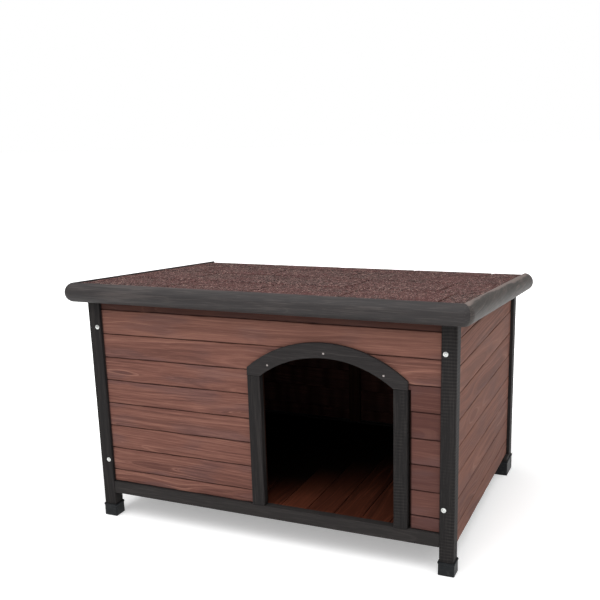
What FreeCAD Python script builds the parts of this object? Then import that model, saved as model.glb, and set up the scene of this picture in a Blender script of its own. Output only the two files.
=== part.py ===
"""Wooden dog house with a hinged, sloping roof, as a parametric document.

Millimetres, +Z up. The doorway faces -Y and +X is to the right of somebody looking at it.
The origin is on the floor, under the middle of the whole outline. The walls end at one
tilted plane, the wall plane, that falls towards the rear. Roof pieces are drawn flat in
the roof frame, whose XY plane is the wall plane and whose origin is above the middle of
the floor plan, and are then tilted into place.
"""
import FreeCAD, Part
import math
import os
import Sketcher

DIMENSIONS = (
    ("body_width", 1050, "outside to outside of the legs, along X"),
    ("body_depth", 770, "front face to rear face of the legs, along Y"),
    ("centre_y", 21.3, "middle of the legs along Y"),
    ("wall_top_front", 690, "height of the wall plane at the front face"),
    ("wall_top_rear", 626, "height of the wall plane at the rear face"),
    ("leg_size", 38, "square section of a leg"),
    ("leg_drop", 10, "how far a leg ends below the wall plane"),
    ("cap_floor", 3, "thickness under the leg"),
    ("cap_wall", 1.6, "wall of a foot cap"),
    ("cap_play", 0.2, "air between leg and cap"),
    ("cap_round", 3, "radius of a cap's upright edges"),
    ("front_cap_height", 37, ""),
    ("rear_cap_height", 48, ""),
    ("board_thickness", 12, ""),
    ("board_recess", 9, "boards lie this far behind the face of the legs"),
    ("board_gap", 0.3, "air in a joint between boards"),
    ("board_chamfer", 1.8, "on the outer long edges"),
    ("tongue_width", 4, ""),
    ("tongue_height", 5, ""),
    ("front_board_width", 68.5, "pitch of the boards in the front and rear walls"),
    ("front_seam_base", 79.8, "the seams stand whole pitches above this height"),
    ("side_board_width", 70, "pitch of the boards in the side walls"),
    ("side_seam_base", 40, ""),
    ("side_board_bottom", 60, "lower edge of the side walls"),
    ("rail_bottom", 74, "lower edge of the front and rear rails"),
    ("rail_height", 36, ""),
    ("rail_recess", 1, "behind the face of the legs"),
    ("front_rail_depth", 25, ""),
    ("side_rail_height", 34, ""),
    ("floor_thickness", 12, ""),
    ("floor_count", 13, "floor boards from wall to wall"),
    ("floor_gap", 1.5, ""),
    ("batten_depth", 18, ""),
    ("batten_width", 36, ""),
    ("rear_rail_depth", 26, "top rail that carries the hinges"),
    ("rear_rail_height", 38, ""),
    ("door_x", 187, "middle of the doorway"),
    ("door_half_width", 181.5, ""),
    ("jamb_width", 37, ""),
    ("jamb_depth", 21, ""),
    ("spring_height", 478, "top of the jambs, where the arch starts"),
    ("arch_centre_z", 248, ""),
    ("arch_radius", 293, "inner radius"),
    ("arch_width", 40, ""),
    ("arch_thickness", 8.8, ""),
    ("arch_reveal", 2, "the boards are cut back this far from the arch's inner edge"),
    ("stub_gap", 6, "between the right jamb and the short boards"),
    ("leg_screw_inset", 27, "from the outer side of a leg"),
    ("low_screw_z", 178, ""),
    ("front_screw_z", 577, ""),
    ("rear_screw_z", 545, ""),
    ("screw_washer_radius", 7, ""),
    ("screw_washer_height", 1.2, ""),
    ("screw_head_radius", 4.5, ""),
    ("screw_head_height", 2, ""),
    ("screw_shank_radius", 2.5, ""),
    ("screw_length", 60, ""),
    ("nail_washer_radius", 2.8, "lower, wider step of a nail's head"),
    ("nail_washer_height", 0.5, ""),
    ("nail_head_radius", 1.8, ""),
    ("nail_head_height", 0.4, ""),
    ("nail_shank_radius", 1, ""),
    ("nail_length", 8, ""),
    ("nail_ring", 306, "radius of the row of nails in the arch"),
    ("nail_spread", 31, "degrees between neighbouring nails"),
    ("roof_half_width", 572.5, "to the outside of the side trims"),
    ("roof_front", 440, "from the roof frame's origin to the front trim's nose"),
    ("roof_rear", 397, "to the rear ends of the side trims"),
    ("deck_rear", 377, ""),
    ("deck_thickness", 9, ""),
    ("deck_gap", 0.5, "air between the walls and the roof"),
    ("trim_radius", 27, "depth and half height of the half-round trims"),
    ("trim_crown", 15, "top of the trim above the wall plane"),
    ("shingle_thickness", 2, ""),
    ("shingle_exposure", 225, "visible depth of a course"),
    ("shingle_lap", 25, ""),
    ("shingle_ramp", 15, ""),
    ("shingle_overhang", 11, "past the rear edge of the deck"),
    ("slot_pitch", 250, "between the slots of a course"),
    ("slot_width", 4, ""),
    ("slot_length", 205, ""),
    ("hinge_spacing", 400, ""),
    ("hinge_y", 383, "axis in the roof frame"),
    ("hinge_z", -1.7, "axis in the roof frame"),
    ("hinge_width", 60, ""),
    ("leaf_depth", 30, ""),
    ("leaf_thickness", 1.5, ""),
    ("knuckle_radius", 4, ""),
    ("knuckle_half", 9.8, "half length of the middle knuckle"),
    ("knuckle_gap", 0.4, ""),
    ("pin_radius", 2, ""),
    ("pin_play", 0.05, ""),
    ("stay_reach", 210, "stay pivot in front of the hinge axis"),
    ("stay_drop", 14, "stay pivot below the deck"),
    ("stay_lag", 7, "degrees between the two ends of a stay while the roof is closed"),
    ("open_angle", 28, "degrees that the roof opens"),
    ("stay_x", 495.2, "middle plane of the right stay"),
    ("stay_width", 14, ""),
    ("stay_thickness", 2, ""),
    ("stay_pin_radius", 3, ""),
    ("stay_play", 0.3, "between the wall pin and the slot"),
    ("bracket_size", 28, ""),
)

# First slot of each course, front course first; the slots are staggered by eye.
FIRST_SLOTS = (-525, -330, -425, -300)
LID_SCREW_OFFSETS = (-12, 12)
WALL_SCREW_OFFSETS = (-22, 0, 22)

Vector = FreeCAD.Vector
doc = FreeCAD.newDocument("dog_house")
sheet = doc.addObject("Spreadsheet::Sheet", "dims")
parts = []


def fill_sheet():
    for row, (alias, number, note) in enumerate(DIMENSIONS, start=1):
        sheet.set("A%d" % row, alias)
        sheet.set("B%d" % row, str(number))
        sheet.setAlias("B%d" % row, alias)
        sheet.set("C%d" % row, note)
    doc.recompute()


def d(text):
    """Turn words in braces into cells: {leg_size} is dims.leg_size."""
    return str(text).replace("{", "dims.").replace("}", "")


HALF = "({body_width} / 2)"
FRONT = "({centre_y} - {body_depth} / 2)"
REAR = "({centre_y} + {body_depth} / 2)"
RAIL_TOP = "({rail_bottom} + {rail_height})"
FLOOR_BOTTOM = "({side_board_bottom} + {side_rail_height})"
FLOOR_TOP = "(%s + {floor_thickness})" % FLOOR_BOTTOM
INNER_X = "(%s - {board_recess} - {board_thickness})" % HALF
BETWEEN_LEGS = "({body_width} - 2 * {leg_size})"
FRONT_INNER = "(%s + {board_recess} + {board_thickness})" % FRONT
REAR_INNER = "(%s - {board_recess} - {board_thickness})" % REAR
CAP_OUTSET = "({cap_wall} + {cap_play})"
DECK_TOP = "{deck_thickness}"


def cell(alias):
    return float(sheet.get(alias))


def wall_top(y):
    """Height of the wall plane at a given y."""
    slope = "({wall_top_front} - {wall_top_rear}) / {body_depth}"
    return "(({wall_top_front} + {wall_top_rear}) / 2 - (%s - {centre_y}) * %s)" % (y, slope)


def slope_angle():
    return math.degrees(math.atan((cell("wall_top_front") - cell("wall_top_rear")) / cell("body_depth")))


def roof_frame():
    """The placement that lays flat roof pieces onto the wall plane."""
    middle = (cell("wall_top_front") + cell("wall_top_rear")) / 2
    turn = FreeCAD.Rotation(Vector(1, 0, 0), -slope_angle())
    return FreeCAD.Placement(Vector(0, cell("centre_y"), middle), turn)


# ---- building blocks -------------------------------------------------------------

def bind_base(piece, corner):
    for axis, text in zip("xyz", corner):
        piece.setExpression("Placement.Base." + axis, d(text))


def block(name, corner, size):
    """A box given by its lowest corner and its size."""
    piece = doc.addObject("Part::Box", name)
    for side, text in zip(("Length", "Width", "Height"), size):
        piece.setExpression(side, d(text))
    bind_base(piece, corner)
    return piece


def rod(name, axis, radius, length, start):
    """A cylinder along +X, +Y or +Z from its start point."""
    piece = doc.addObject("Part::Cylinder", name)
    piece.setExpression("Radius", d(radius))
    piece.setExpression("Height", d(length))
    if axis == "x":
        piece.Placement.Rotation = FreeCAD.Rotation(Vector(0, 1, 0), 90)
    if axis == "y":
        piece.Placement.Rotation = FreeCAD.Rotation(Vector(1, 0, 0), -90)
    bind_base(piece, start)
    return piece


def ball(name, radius, centre):
    piece = doc.addObject("Part::Sphere", name)
    piece.setExpression("Radius", d(radius))
    bind_base(piece, centre)
    return piece


def fuse(name, pieces):
    piece = doc.addObject("Part::MultiFuse", name)
    piece.Shapes = pieces
    return piece


def cut(name, base, tool):
    piece = doc.addObject("Part::Cut", name)
    piece.Base = base
    piece.Tool = tool
    return piece


def common(name, base, tool):
    piece = doc.addObject("Part::Common", name)
    piece.Base = base
    piece.Tool = tool
    return piece


def group(name, pieces):
    """Separate solids that share one node."""
    piece = doc.addObject("Part::Compound", name)
    piece.Links = pieces
    return piece


def keep(piece, label):
    """Make this object a finished sub-part."""
    piece.Label = label
    parts.append(piece)
    return piece


def tilt(pieces, label):
    """Lay flat pieces onto the wall plane as one sub-part."""
    piece = group(label, pieces)
    piece.Placement = roof_frame()
    return keep(piece, label)


def outline(body, plane, points):
    """A closed polygon whose every corner is bound to the sheet."""
    sketch = body.newObject("Sketcher::SketchObject", body.Name + "_outline")
    base = [item for item in body.Origin.OriginFeatures if item.Role == plane][0]
    sketch.AttachmentSupport = [(base, "")]
    sketch.MapMode = "FlatFace"
    texts = [(d(x), d(y)) for x, y in points]
    places = [Vector(sketch.evalExpression(x), sketch.evalExpression(y), 0) for x, y in texts]
    count = len(places)
    for index in range(count):
        sketch.addGeometry(Part.LineSegment(places[index], places[(index + 1) % count]), False)
    for index in range(count):
        sketch.addConstraint(Sketcher.Constraint("Coincident", index, 2, (index + 1) % count, 1))
    for index, (x, y) in enumerate(texts):
        for kind, text in (("DistanceX", x), ("DistanceY", y)):
            number = places[index].x if kind == "DistanceX" else places[index].y
            row = sketch.addConstraint(Sketcher.Constraint(kind, -1, 1, index, 1, number))
            sketch.setExpression("Constraints[%d]" % row, text)
    return sketch


def prism(name, plane, points, length, backwards=False):
    """A polygon padded square to its plane."""
    body = doc.addObject("PartDesign::Body", name)
    pad = body.newObject("PartDesign::Pad", name + "_pad")
    sketch = outline(body, plane, points)
    pad.Profile = sketch
    pad.setExpression("Length", d(length))
    pad.Reversed = backwards
    body.Tip = pad
    return body


def above_wall(name, drop):
    """Everything more than a drop below the wall plane and up, to trim walls with."""
    piece = doc.addObject("Part::Box", name)
    piece.setExpression("Length", d("2 * {body_width}"))
    piece.setExpression("Width", d("2 * {body_depth}"))
    piece.setExpression("Height", d("{wall_top_front}"))
    corner = Vector(-cell("body_width"), -cell("body_depth"), -drop)
    piece.Placement = roof_frame().multiply(FreeCAD.Placement(corner, FreeCAD.Rotation()))
    return piece


# ---- boards ----------------------------------------------------------------------

def board_section(height, tongue, groove):
    """Section of a board, outer face at 0: chamfered, tongue above, groove below."""
    near = "({board_thickness} - {tongue_width}) / 2"
    far = "({board_thickness} + {tongue_width}) / 2"
    points = [("{board_chamfer}", "0")]
    if groove:
        points += [
            (near + " - {board_gap}", "0"),
            (near + " - {board_gap}", "{tongue_height} + {board_gap}"),
            (far + " + {board_gap}", "{tongue_height} + {board_gap}"),
            (far + " + {board_gap}", "0"),
        ]
    points += [("{board_thickness}", "0"), ("{board_thickness}", height)]
    if tongue:
        points += [
            (far, height),
            (far, height + " + {tongue_height}"),
            (near, height + " + {tongue_height}"),
            (near, height),
        ]
    points += [
        ("{board_chamfer}", height),
        ("0", height + " - {board_chamfer}"),
        ("0", "{board_chamfer}"),
    ]
    return points


def board(name, facing, corner, length, height, tongue=True, groove=True):
    """One board. Facing front or rear it runs along X, facing left or right along Y."""
    along_x = facing in ("front", "rear")
    plane = "YZ_Plane" if along_x else "XZ_Plane"
    body = prism(name, plane, board_section(height, tongue, groove), length, not along_x)
    if facing in ("rear", "right"):
        body.Placement.Rotation = FreeCAD.Rotation(Vector(0, 0, 1), 180)
    bind_base(body, corner)
    return body


def front_seam(row):
    return "({front_seam_base} + %d * {front_board_width})" % row


def side_seam(row):
    return "({side_seam_base} + %d * {side_board_width})" % row


def door_cutter():
    """The doorway as the boards see it: a box up to the jamb tops, an arch above."""
    left = "{door_x} - {door_half_width} - {jamb_width}"
    width = "2 * ({door_half_width} + {jamb_width}) + {stub_gap}"
    y = FRONT
    lower = block("door_lower", (left, y, "0"), (width, "{leg_size}", "{spring_height}"))
    arch = rod("door_round", "y", "{arch_radius} + {arch_reveal}", "{leg_size}",
               ("{door_x}", y, "{arch_centre_z}"))
    upper = block("door_upper", (left, y, "{spring_height}"), (width, "{leg_size}", "{arch_radius}"))
    return fuse("door_cutter", [lower, common("door_upper_arch", arch, upper)])


def front_wall():
    outer = "(%s + {board_recess})" % FRONT
    left_x = "-%s + {leg_size}" % HALF
    right_x = "%s - {leg_size}" % HALF
    jamb_left = "({door_x} - {door_half_width} - {jamb_width})"
    stub_left = "({door_x} + {door_half_width} + {jamb_width} + {stub_gap})"
    cutter = door_cutter()
    stubs = []
    for row in range(6):
        low = front_seam(row) if row else "(%s + {board_gap})" % RAIL_TOP
        height = "(%s - {board_gap} - %s)" % (front_seam(row + 1), low)
        beside_arch = row == 5
        left_end = "{door_x}" if beside_arch else jamb_left
        right_start = "{door_x}" if beside_arch else stub_left
        name = "front_board_left_%d" % (row + 1)
        left = board(name + "_plain", "front", (left_x, outer, low),
                     "%s - (%s)" % (left_end, left_x), height, groove=row > 0)
        right = board("front_stub_%d" % (row + 1), "front", (right_start, outer, low),
                      "%s - (%s)" % (right_x, right_start), height, groove=row > 0)
        if beside_arch:
            left = cut(name + "_cut", left, cutter)
            right = cut("front_stub_cut", right, cutter)
        keep(left, name)
        stubs.append(right)
    keep(group("front_stubs", stubs), "front_boards_right")
    for row, label in ((6, "front_board_over_door"), (7, "front_board_upper"), (8, "front_board_top")):
        low = front_seam(row)
        height = "(%s - {board_gap} - %s)" % (front_seam(row + 1), low)
        if row == 8:
            height = "(%s - {deck_gap} - %s)" % (wall_top(FRONT_INNER), low)
        plank = board(label + "_plain", "front", (left_x, outer, low), BETWEEN_LEGS, height,
                      tongue=row < 8)
        keep(cut(label + "_cut", plank, cutter) if row == 6 else plank, label)


def rear_wall():
    outer = "(%s - {board_recess})" % REAR
    planks = []
    for row in range(8):
        low = front_seam(row) if row else "(%s + {board_gap})" % RAIL_TOP
        height = "(%s - {board_gap} - %s)" % (front_seam(row + 1), low)
        planks.append(board("rear_board_%d" % row, "rear", ("%s - {leg_size}" % HALF, outer, low),
                            BETWEEN_LEGS, height, tongue=row < 7, groove=row > 0))
    walls = group("rear_boards_plain", planks)
    trimmed = cut("rear_boards_cut", walls, above_wall("rear_trimmer", hinge_seat()))
    keep(trimmed, "rear_wall_boards")


def side_wall(side):
    planks = []
    length = "{body_depth} - 2 * {leg_size} - 2 * {board_gap}"
    front_end = "%s + {leg_size} + {board_gap}" % FRONT
    rear_end = "%s - {leg_size} - {board_gap}" % REAR
    corner = {"left": ("-%s + {board_recess}" % HALF, front_end),
              "right": ("%s - {board_recess}" % HALF, rear_end)}[side]
    for row in range(10):
        low = side_seam(row) if row else "{side_board_bottom}"
        height = "(%s - {board_gap} - %s)" % (side_seam(row + 1), low)
        planks.append(board("%s_board_%d" % (side, row), side, corner + (low,), length, height,
                            tongue=row < 9, groove=row > 0))
    walls = group(side + "_boards_plain", planks)
    trimmed = cut(side + "_boards_cut", walls, above_wall(side + "_trimmer", cell("deck_gap")))
    keep(trimmed, side + "_wall_boards")


# ---- frame -----------------------------------------------------------------------

def side_x(side):
    """Lowest x of a leg on the named side."""
    return "-%s" % HALF if side == "left" else "%s - {leg_size}" % HALF


def mirrored_x(side, near, width):
    """Lowest x of a piece that starts at near on the right side, or its mirror image."""
    return near if side == "right" else "-(%s) - (%s)" % (near, width)


def leg(side, end):
    y = FRONT if end == "front" else "%s - {leg_size}" % REAR
    height = "{wall_top_%s} - {leg_drop} - {cap_floor}" % end
    piece = block("%s_%s_leg" % (side, end), (side_x(side), y, "{cap_floor}"),
                  ("{leg_size}", "{leg_size}", height))
    keep(piece, "%s_%s_leg" % (side, end))


def round_uprights(name, base, height):
    """Round the four tallest upright edges of a cap."""
    doc.recompute()
    piece = doc.addObject("Part::Fillet", name)
    piece.Base = base
    chosen = []
    for number, edge in enumerate(base.Shape.Edges, start=1):
        upright = abs(edge.tangentAt(edge.FirstParameter).z) > 0.99
        if upright and abs(edge.Length - height) < 0.01:
            chosen.append((number, cell("cap_round"), cell("cap_round")))
    piece.Edges = chosen
    return piece


def foot_cap(side, end):
    """Plastic shoe; a rear one also takes the block beside the leg."""
    label = "%s_%s_foot_cap" % (side, end)
    depth = "{leg_size}" if end == "front" else "2 * {leg_size}"
    y = FRONT if end == "front" else "%s - 2 * {leg_size}" % REAR
    x = side_x(side)
    shell = block(label + "_shell", (x + " - " + CAP_OUTSET, y + " - " + CAP_OUTSET, "0"),
                  ("{leg_size} + 2 * " + CAP_OUTSET, depth + " + 2 * " + CAP_OUTSET,
                   "{%s_cap_height}" % end))
    hollow = block(label + "_hollow", (x + " - {cap_play}", y + " - {cap_play}", "{cap_floor}"),
                   ("{leg_size} + 2 * {cap_play}", depth + " + 2 * {cap_play}",
                    "{%s_cap_height}" % end))
    rounded = round_uprights(label + "_round", shell, cell(end + "_cap_height"))
    keep(cut(label + "_cut", rounded, hollow), label)


def foot_block(side):
    """Block in front of a rear leg that carries the side rail."""
    piece = block("%s_foot_block" % side, (side_x(side), "%s - 2 * {leg_size}" % REAR, "{cap_floor}"),
                  ("{leg_size}", "{leg_size}", "{side_board_bottom} - {cap_floor}"))
    keep(piece, side + "_rear_foot_block")


def rails():
    inner = "-%s + {leg_size}" % HALF
    keep(block("front_rail", (inner, FRONT + " + {rail_recess}", "{rail_bottom}"),
               (BETWEEN_LEGS, "{front_rail_depth}", "{rail_height}")), "front_bottom_rail")
    keep(block("rear_rail", (inner, REAR + " - {leg_size}", "{rail_bottom}"),
               (BETWEEN_LEGS, "{leg_size} - {rail_recess}", "{rail_height}")), "rear_bottom_rail")
    for side in ("left", "right"):
        x = mirrored_x(side, INNER_X + " - {leg_size}", "{leg_size}")
        keep(block(side + "_rail", (x, FRONT + " + {leg_size}", "{side_board_bottom}"),
                   ("{leg_size}", "{body_depth} - 2 * {leg_size}", "{side_rail_height}")),
             side + "_side_rail")


def rear_top_rail():
    y = REAR_INNER + " - {rear_rail_depth}"
    width = "2 * (%s - {leg_size})" % INNER_X
    low = wall_top(REAR_INNER) + " - {rear_rail_height} - 4"
    bar = block("rear_top_bar", ("-(%s) / 2" % width, y, low),
                (width, "{rear_rail_depth}", "{rear_rail_height} + 8"))
    keep(cut("rear_top_cut", bar, above_wall("rail_trimmer", hinge_seat())), "rear_top_rail")


def battens():
    """Upright pieces inside the walls that the boards are fixed to."""
    stiles = []
    for side in ("left", "right"):
        x = mirrored_x(side, INNER_X + " - {leg_size}", "{leg_size}")
        for end, y in (("front", FRONT + " + {leg_size}"), ("rear", REAR + " - 2 * {leg_size}")):
            top = wall_top("(%s + {leg_size})" % y)
            stiles.append(block("%s_%s_stile" % (side, end), (x, y, FLOOR_TOP),
                                ("{leg_size}", "{leg_size}", top + " - 4 - " + FLOOR_TOP)))
    keep(group("stiles", stiles), "corner_stiles")
    uprights = []
    for side, x in (("left", "{door_x} - {door_half_width} - 6 - {batten_width}"),
                    ("right", "{door_x} + {door_half_width} + 6")):
        uprights.append(block(side + "_door_batten", (x, FRONT_INNER, RAIL_TOP),
                              ("{batten_width}", "{batten_depth}", "540")))
    keep(group("door_uprights", uprights), "door_battens")
    top = wall_top(REAR_INNER) + " - {rear_rail_height} - 4"
    keep(block("rear_batten", ("-{leg_size} / 2", REAR_INNER + " - {batten_depth}", RAIL_TOP),
               ("{leg_size}", "{batten_depth}", top + " - " + RAIL_TOP)), "rear_centre_batten")


def cabin_floor():
    width = "2 * (%s - {leg_size})" % INNER_X
    bearers = []
    for name, y in (("front", FRONT + " + {leg_size}"),
                    ("middle", "{centre_y} - {leg_size} / 2"),
                    ("rear", REAR + " - 2 * {leg_size}")):
        bearers.append(block(name + "_bearer", ("-(%s) / 2" % width, y, "{side_board_bottom}"),
                             (width, "{leg_size}", "{side_rail_height}")))
    keep(group("bearers", bearers), "floor_bearers")
    pitch = "(2 * %s / {floor_count})" % INNER_X
    count = int(cell("floor_count"))
    planks = []
    for number in range(count):
        outermost = number in (0, count - 1)
        reach = "{leg_size}" if outermost else "{rail_recess} + {front_rail_depth}"
        front = "(%s + %s + {board_gap})" % (FRONT, reach)
        rear = "(%s - {leg_size} - {board_gap})" % REAR
        x = "-%s + %d * %s + {floor_gap} / 2" % (INNER_X, number, pitch)
        planks.append(block("floor_board_%d" % (number + 1), (x, front, FLOOR_BOTTOM),
                            (pitch + " - {floor_gap}", "%s - %s" % (rear, front), "{floor_thickness}")))
    keep(group("floor", planks), "floor_boards")


# ---- doorway ---------------------------------------------------------------------

def door_trim():
    for side, x in (("left", "{door_x} - {door_half_width} - {jamb_width}"),
                    ("right", "{door_x} + {door_half_width}")):
        keep(block(side + "_door_jamb", (x, FRONT, RAIL_TOP),
                   ("{jamb_width}", "{jamb_depth}", "{spring_height} - " + RAIL_TOP)), side + "_jamb")
    centre = ("{door_x}", FRONT, "{arch_centre_z}")
    outer = rod("arch_outer", "y", "{arch_radius} + {arch_width}", "{arch_thickness}", centre)
    inner = rod("arch_inner", "y", "{arch_radius}", "{arch_thickness}", centre)
    half = "({door_half_width} + {jamb_width})"
    ends = block("arch_ends", ("{door_x} - " + half, FRONT, "{spring_height} + {board_gap}"),
                 ("2 * " + half, "{arch_thickness}", "{arch_radius}"))
    keep(common("arch_common", cut("arch_ring", outer, inner), ends), "door_arch")


def fastener(kind, name, x, face, z, outward):
    """A screw or nail along Y. Its head stands out of a face that looks to outward * Y."""
    washer, head, length = ["{%s_%s}" % (kind, size) for size in ("washer_height", "head_height", "length")]
    rods = []
    for part, start, depth in (("washer", "0", washer), ("head", washer, head),
                               ("shank", "-" + length, length)):
        low = "%s + %s" % (face, start) if outward > 0 else "%s - (%s) - %s" % (face, start, depth)
        rods.append(rod("%s_%s" % (name, part), "y", "{%s_%s_radius}" % (kind, part), depth, (x, low, z)))
    return fuse(name, rods)


def leg_screws():
    """Washer-head screws through the legs into the corner stiles."""
    screws = []
    for side in ("left", "right"):
        x = "%s(%s - {leg_screw_inset})" % ("-" if side == "left" else "", HALF)
        for end, face, outward in (("front", FRONT, -1), ("rear", REAR, 1)):
            for level, z in (("low", "{low_screw_z}"), ("high", "{%s_screw_z}" % end)):
                name = "%s_%s_%s_screw" % (side, end, level)
                screws.append(fastener("screw", name, x, face, z, outward))
    keep(group("screws", screws), "leg_screws")


def arch_nails():
    nails = []
    for number in (-1, 0, 1):
        angle = "(%d * {nail_spread})" % number
        x = "{door_x} + {nail_ring} * sin(%s)" % angle
        z = "{arch_centre_z} + {nail_ring} * cos(%s)" % angle
        nails.append(fastener("nail", "nail_%d" % (number + 2), x, FRONT, z, -1))
    keep(group("nails", nails), "arch_nails")


# ---- roof ------------------------------------------------------------------------

def deck():
    inner = "({roof_half_width} - {trim_radius})"
    front = "({roof_front} - {trim_radius})"
    tilt([block("deck_sheet", ("-" + inner, "-" + front, "0"),
                ("2 * " + inner, front + " + {deck_rear}", "{deck_thickness}"))], "roof_deck")


def trims():
    """Half-round mouldings round three sides of the deck.

    They are mitred at the front corners, where the outside is rounded off to a ball.
    """
    inner = "({roof_half_width} - {trim_radius})"
    front = "({roof_front} - {trim_radius})"
    middle = "{trim_crown} - {trim_radius}"
    tall = "4 * {trim_radius}"
    shape = prism("front_mitre", "XY_Plane",
                  [("-{roof_half_width}", "-{roof_front}"), ("{roof_half_width}", "-{roof_front}"),
                   (inner, "-" + front), ("-" + inner, "-" + front)], tall)
    bind_base(shape, ("0", "0", "-2 * {trim_radius}"))
    nose = rod("front_nose", "x", "{trim_radius}", "2 * " + inner, ("-" + inner, "-" + front, middle))
    corners = [ball("front_%s_corner" % side, "{trim_radius}", (sign + inner, "-" + front, middle))
               for side, sign in (("left", "-"), ("right", ""))]
    tilt([common("front_moulding", fuse("front_section", [nose] + corners), shape)], "front_trim")
    for side, sign in (("left", "-"), ("right", "")):
        shape = prism(side + "_mitre", "XY_Plane",
                      [(sign + inner, "-" + front), (sign + "{roof_half_width}", "-{roof_front}"),
                       (sign + "{roof_half_width}", "{roof_rear}"), (sign + inner, "{roof_rear}")], tall)
        bind_base(shape, ("0", "0", "-2 * {trim_radius}"))
        start = (sign + inner, "-" + front, middle)
        nose = rod(side + "_nose", "y", "{trim_radius}", front + " + {roof_rear}", start)
        corner = ball(side + "_corner", "{trim_radius}", start)
        section = fuse(side + "_section", [nose, corner])
        tilt([common(side + "_moulding", section, shape)], side + "_trim")


def shingles():
    """Four courses; each one after the first starts on top of the one before it."""
    air = "0.05"
    front = "(-{roof_front} + {trim_radius})"
    inner = "({roof_half_width} - {trim_radius})"
    low = "(%s + %s)" % (DECK_TOP, air)
    thick = "{shingle_thickness}"
    lifted = "(%s + %s + 2 * %s)" % (DECK_TOP, thick, air)
    for course, first in enumerate(FIRST_SLOTS):
        start = "(%s + %d * {shingle_exposure})" % (front, course)
        end = "(%s + {shingle_exposure} + {shingle_lap})" % start
        if course == len(FIRST_SLOTS) - 1:
            end = "({deck_rear} + {shingle_overhang})"
        if course == 0:
            section = [(start, low), (end, low), (end, low + " + " + thick),
                       (start, low + " + " + thick)]
        else:
            lap = start + " + {shingle_lap}"
            ramp = lap + " + {shingle_ramp}"
            section = [(start, lifted), (lap, lifted), (ramp, low), (end, low),
                       (end, low + " + " + thick), (ramp, low + " + " + thick),
                       (lap, lifted + " + " + thick), (start, lifted + " + " + thick)]
        name = "course_%d" % (course + 1)
        strip = prism(name + "_strip", "YZ_Plane", section, "2 * %s - 0.6" % inner)
        bind_base(strip, ("-%s + 0.3" % inner, "0", "0"))
        slots = []
        for number in range(5):
            x = first + number * cell("slot_pitch")
            if x < cell("roof_half_width") - cell("trim_radius"):
                slots.append(block("%s_slot_%d" % (name, number),
                                   ("%s + %d * {slot_pitch} - {slot_width} / 2" % (first, number),
                                    start + " - 1", "0"),
                                   ("{slot_width}", "{slot_length} + 1", "40")))
        slotted = cut(name + "_cut", strip, fuse(name + "_slots", slots))
        tilt([slotted], "shingle_course_%d" % (course + 1))


# ---- hinges and stays ------------------------------------------------------------

def hinge_seat():
    """How far below the wall plane the rear wall ends, to leave room for two leaves."""
    return 2 * cell("leaf_thickness") + cell("knuckle_gap")


def hinge_leaf(number, kind):
    """A leaf with its knuckles: two outer ones on the wall, the middle one on the roof."""
    x = "(%d * {hinge_spacing})" % number
    name = "hinge_%s_%d" % (kind, number + 2)
    axis = ("{hinge_y}", "{hinge_z}")
    half = "({hinge_width} / 2)"
    inner = "({knuckle_half} + {knuckle_gap})"
    outer_length = half + " - " + inner
    low = "-{leaf_thickness}" if kind == "lid" else "-2 * {leaf_thickness} - {knuckle_gap}"
    plate = block(name + "_plate", (x + " - " + half, "{hinge_y} - {leaf_depth}", low),
                  ("{hinge_width}", "{leaf_depth}", "{leaf_thickness}"))
    bore = rod(name + "_bore", "x", "{pin_radius} + {pin_play}", "2 * {hinge_width}",
               (x + " - {hinge_width}",) + axis)
    middle = (x + " - {knuckle_half}",) + axis
    left = (x + " - " + half,) + axis
    right = (x + " + " + inner,) + axis
    clear = "{knuckle_radius} + {knuckle_gap}"
    if kind == "lid":
        knuckles = [rod(name + "_knuckle", "x", "{knuckle_radius}", "2 * {knuckle_half}", middle)]
        room = [rod(name + "_room_left", "x", clear, half + " - {knuckle_half}", left),
                rod(name + "_room_right", "x", clear, half + " - {knuckle_half}",
                    (x + " + {knuckle_half}",) + axis)]
    else:
        knuckles = [rod(name + "_left", "x", "{knuckle_radius}", outer_length, left),
                    rod(name + "_right", "x", "{knuckle_radius}", outer_length, right)]
        room = [rod(name + "_room", "x", clear, "2 * " + inner, (x + " - " + inner,) + axis)]
    tools = fuse(name + "_tools", room + [bore])
    tilt([cut(name + "_cut", fuse(name + "_solid", [plate] + knuckles), tools)],
         "hinge_%s_leaf_%d" % (kind, number + 2))


def hinge_pins():
    pins = []
    for number in (-1, 0, 1):
        x = "(%d * {hinge_spacing})" % number
        name = "pin_%d" % (number + 2)
        reach = "({hinge_width} / 2 + 0.4)"
        axis = ("{hinge_y}", "{hinge_z}")
        shaft = rod(name + "_shaft", "x", "{pin_radius}", "2 * " + reach, (x + " - " + reach,) + axis)
        heads = [rod(name + "_head_left", "x", "{pin_radius} + 1", "1", (x + " - " + reach + " - 1",) + axis),
                 rod(name + "_head_right", "x", "{pin_radius} + 1", "1", (x + " + " + reach,) + axis)]
        pins.append(fuse(name, [shaft] + heads))
    tilt(pins, "hinge_pins")


def hinge_screws(kind, offsets, y, face, sign, length):
    """Countersunk screws through the leaves; sign points into the wood."""
    screws = []
    for number in (-1, 0, 1):
        for offset in offsets:
            name = "%s_screw_%d_%d" % (kind, number + 2, offset + 30)
            x = "%d * {hinge_spacing} + %d" % (number, offset)
            head = face if sign > 0 else face + " - 0.9"
            shank = face if sign > 0 else "%s - %s" % (face, length)
            screws.append(fuse(name, [rod(name + "_head", "z", "3.2", "0.9", (x, y, head)),
                                      rod(name + "_shank", "z", "1.6", length, (x, y, shank))]))
    tilt(screws, "hinge_%s_screws" % kind)


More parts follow.
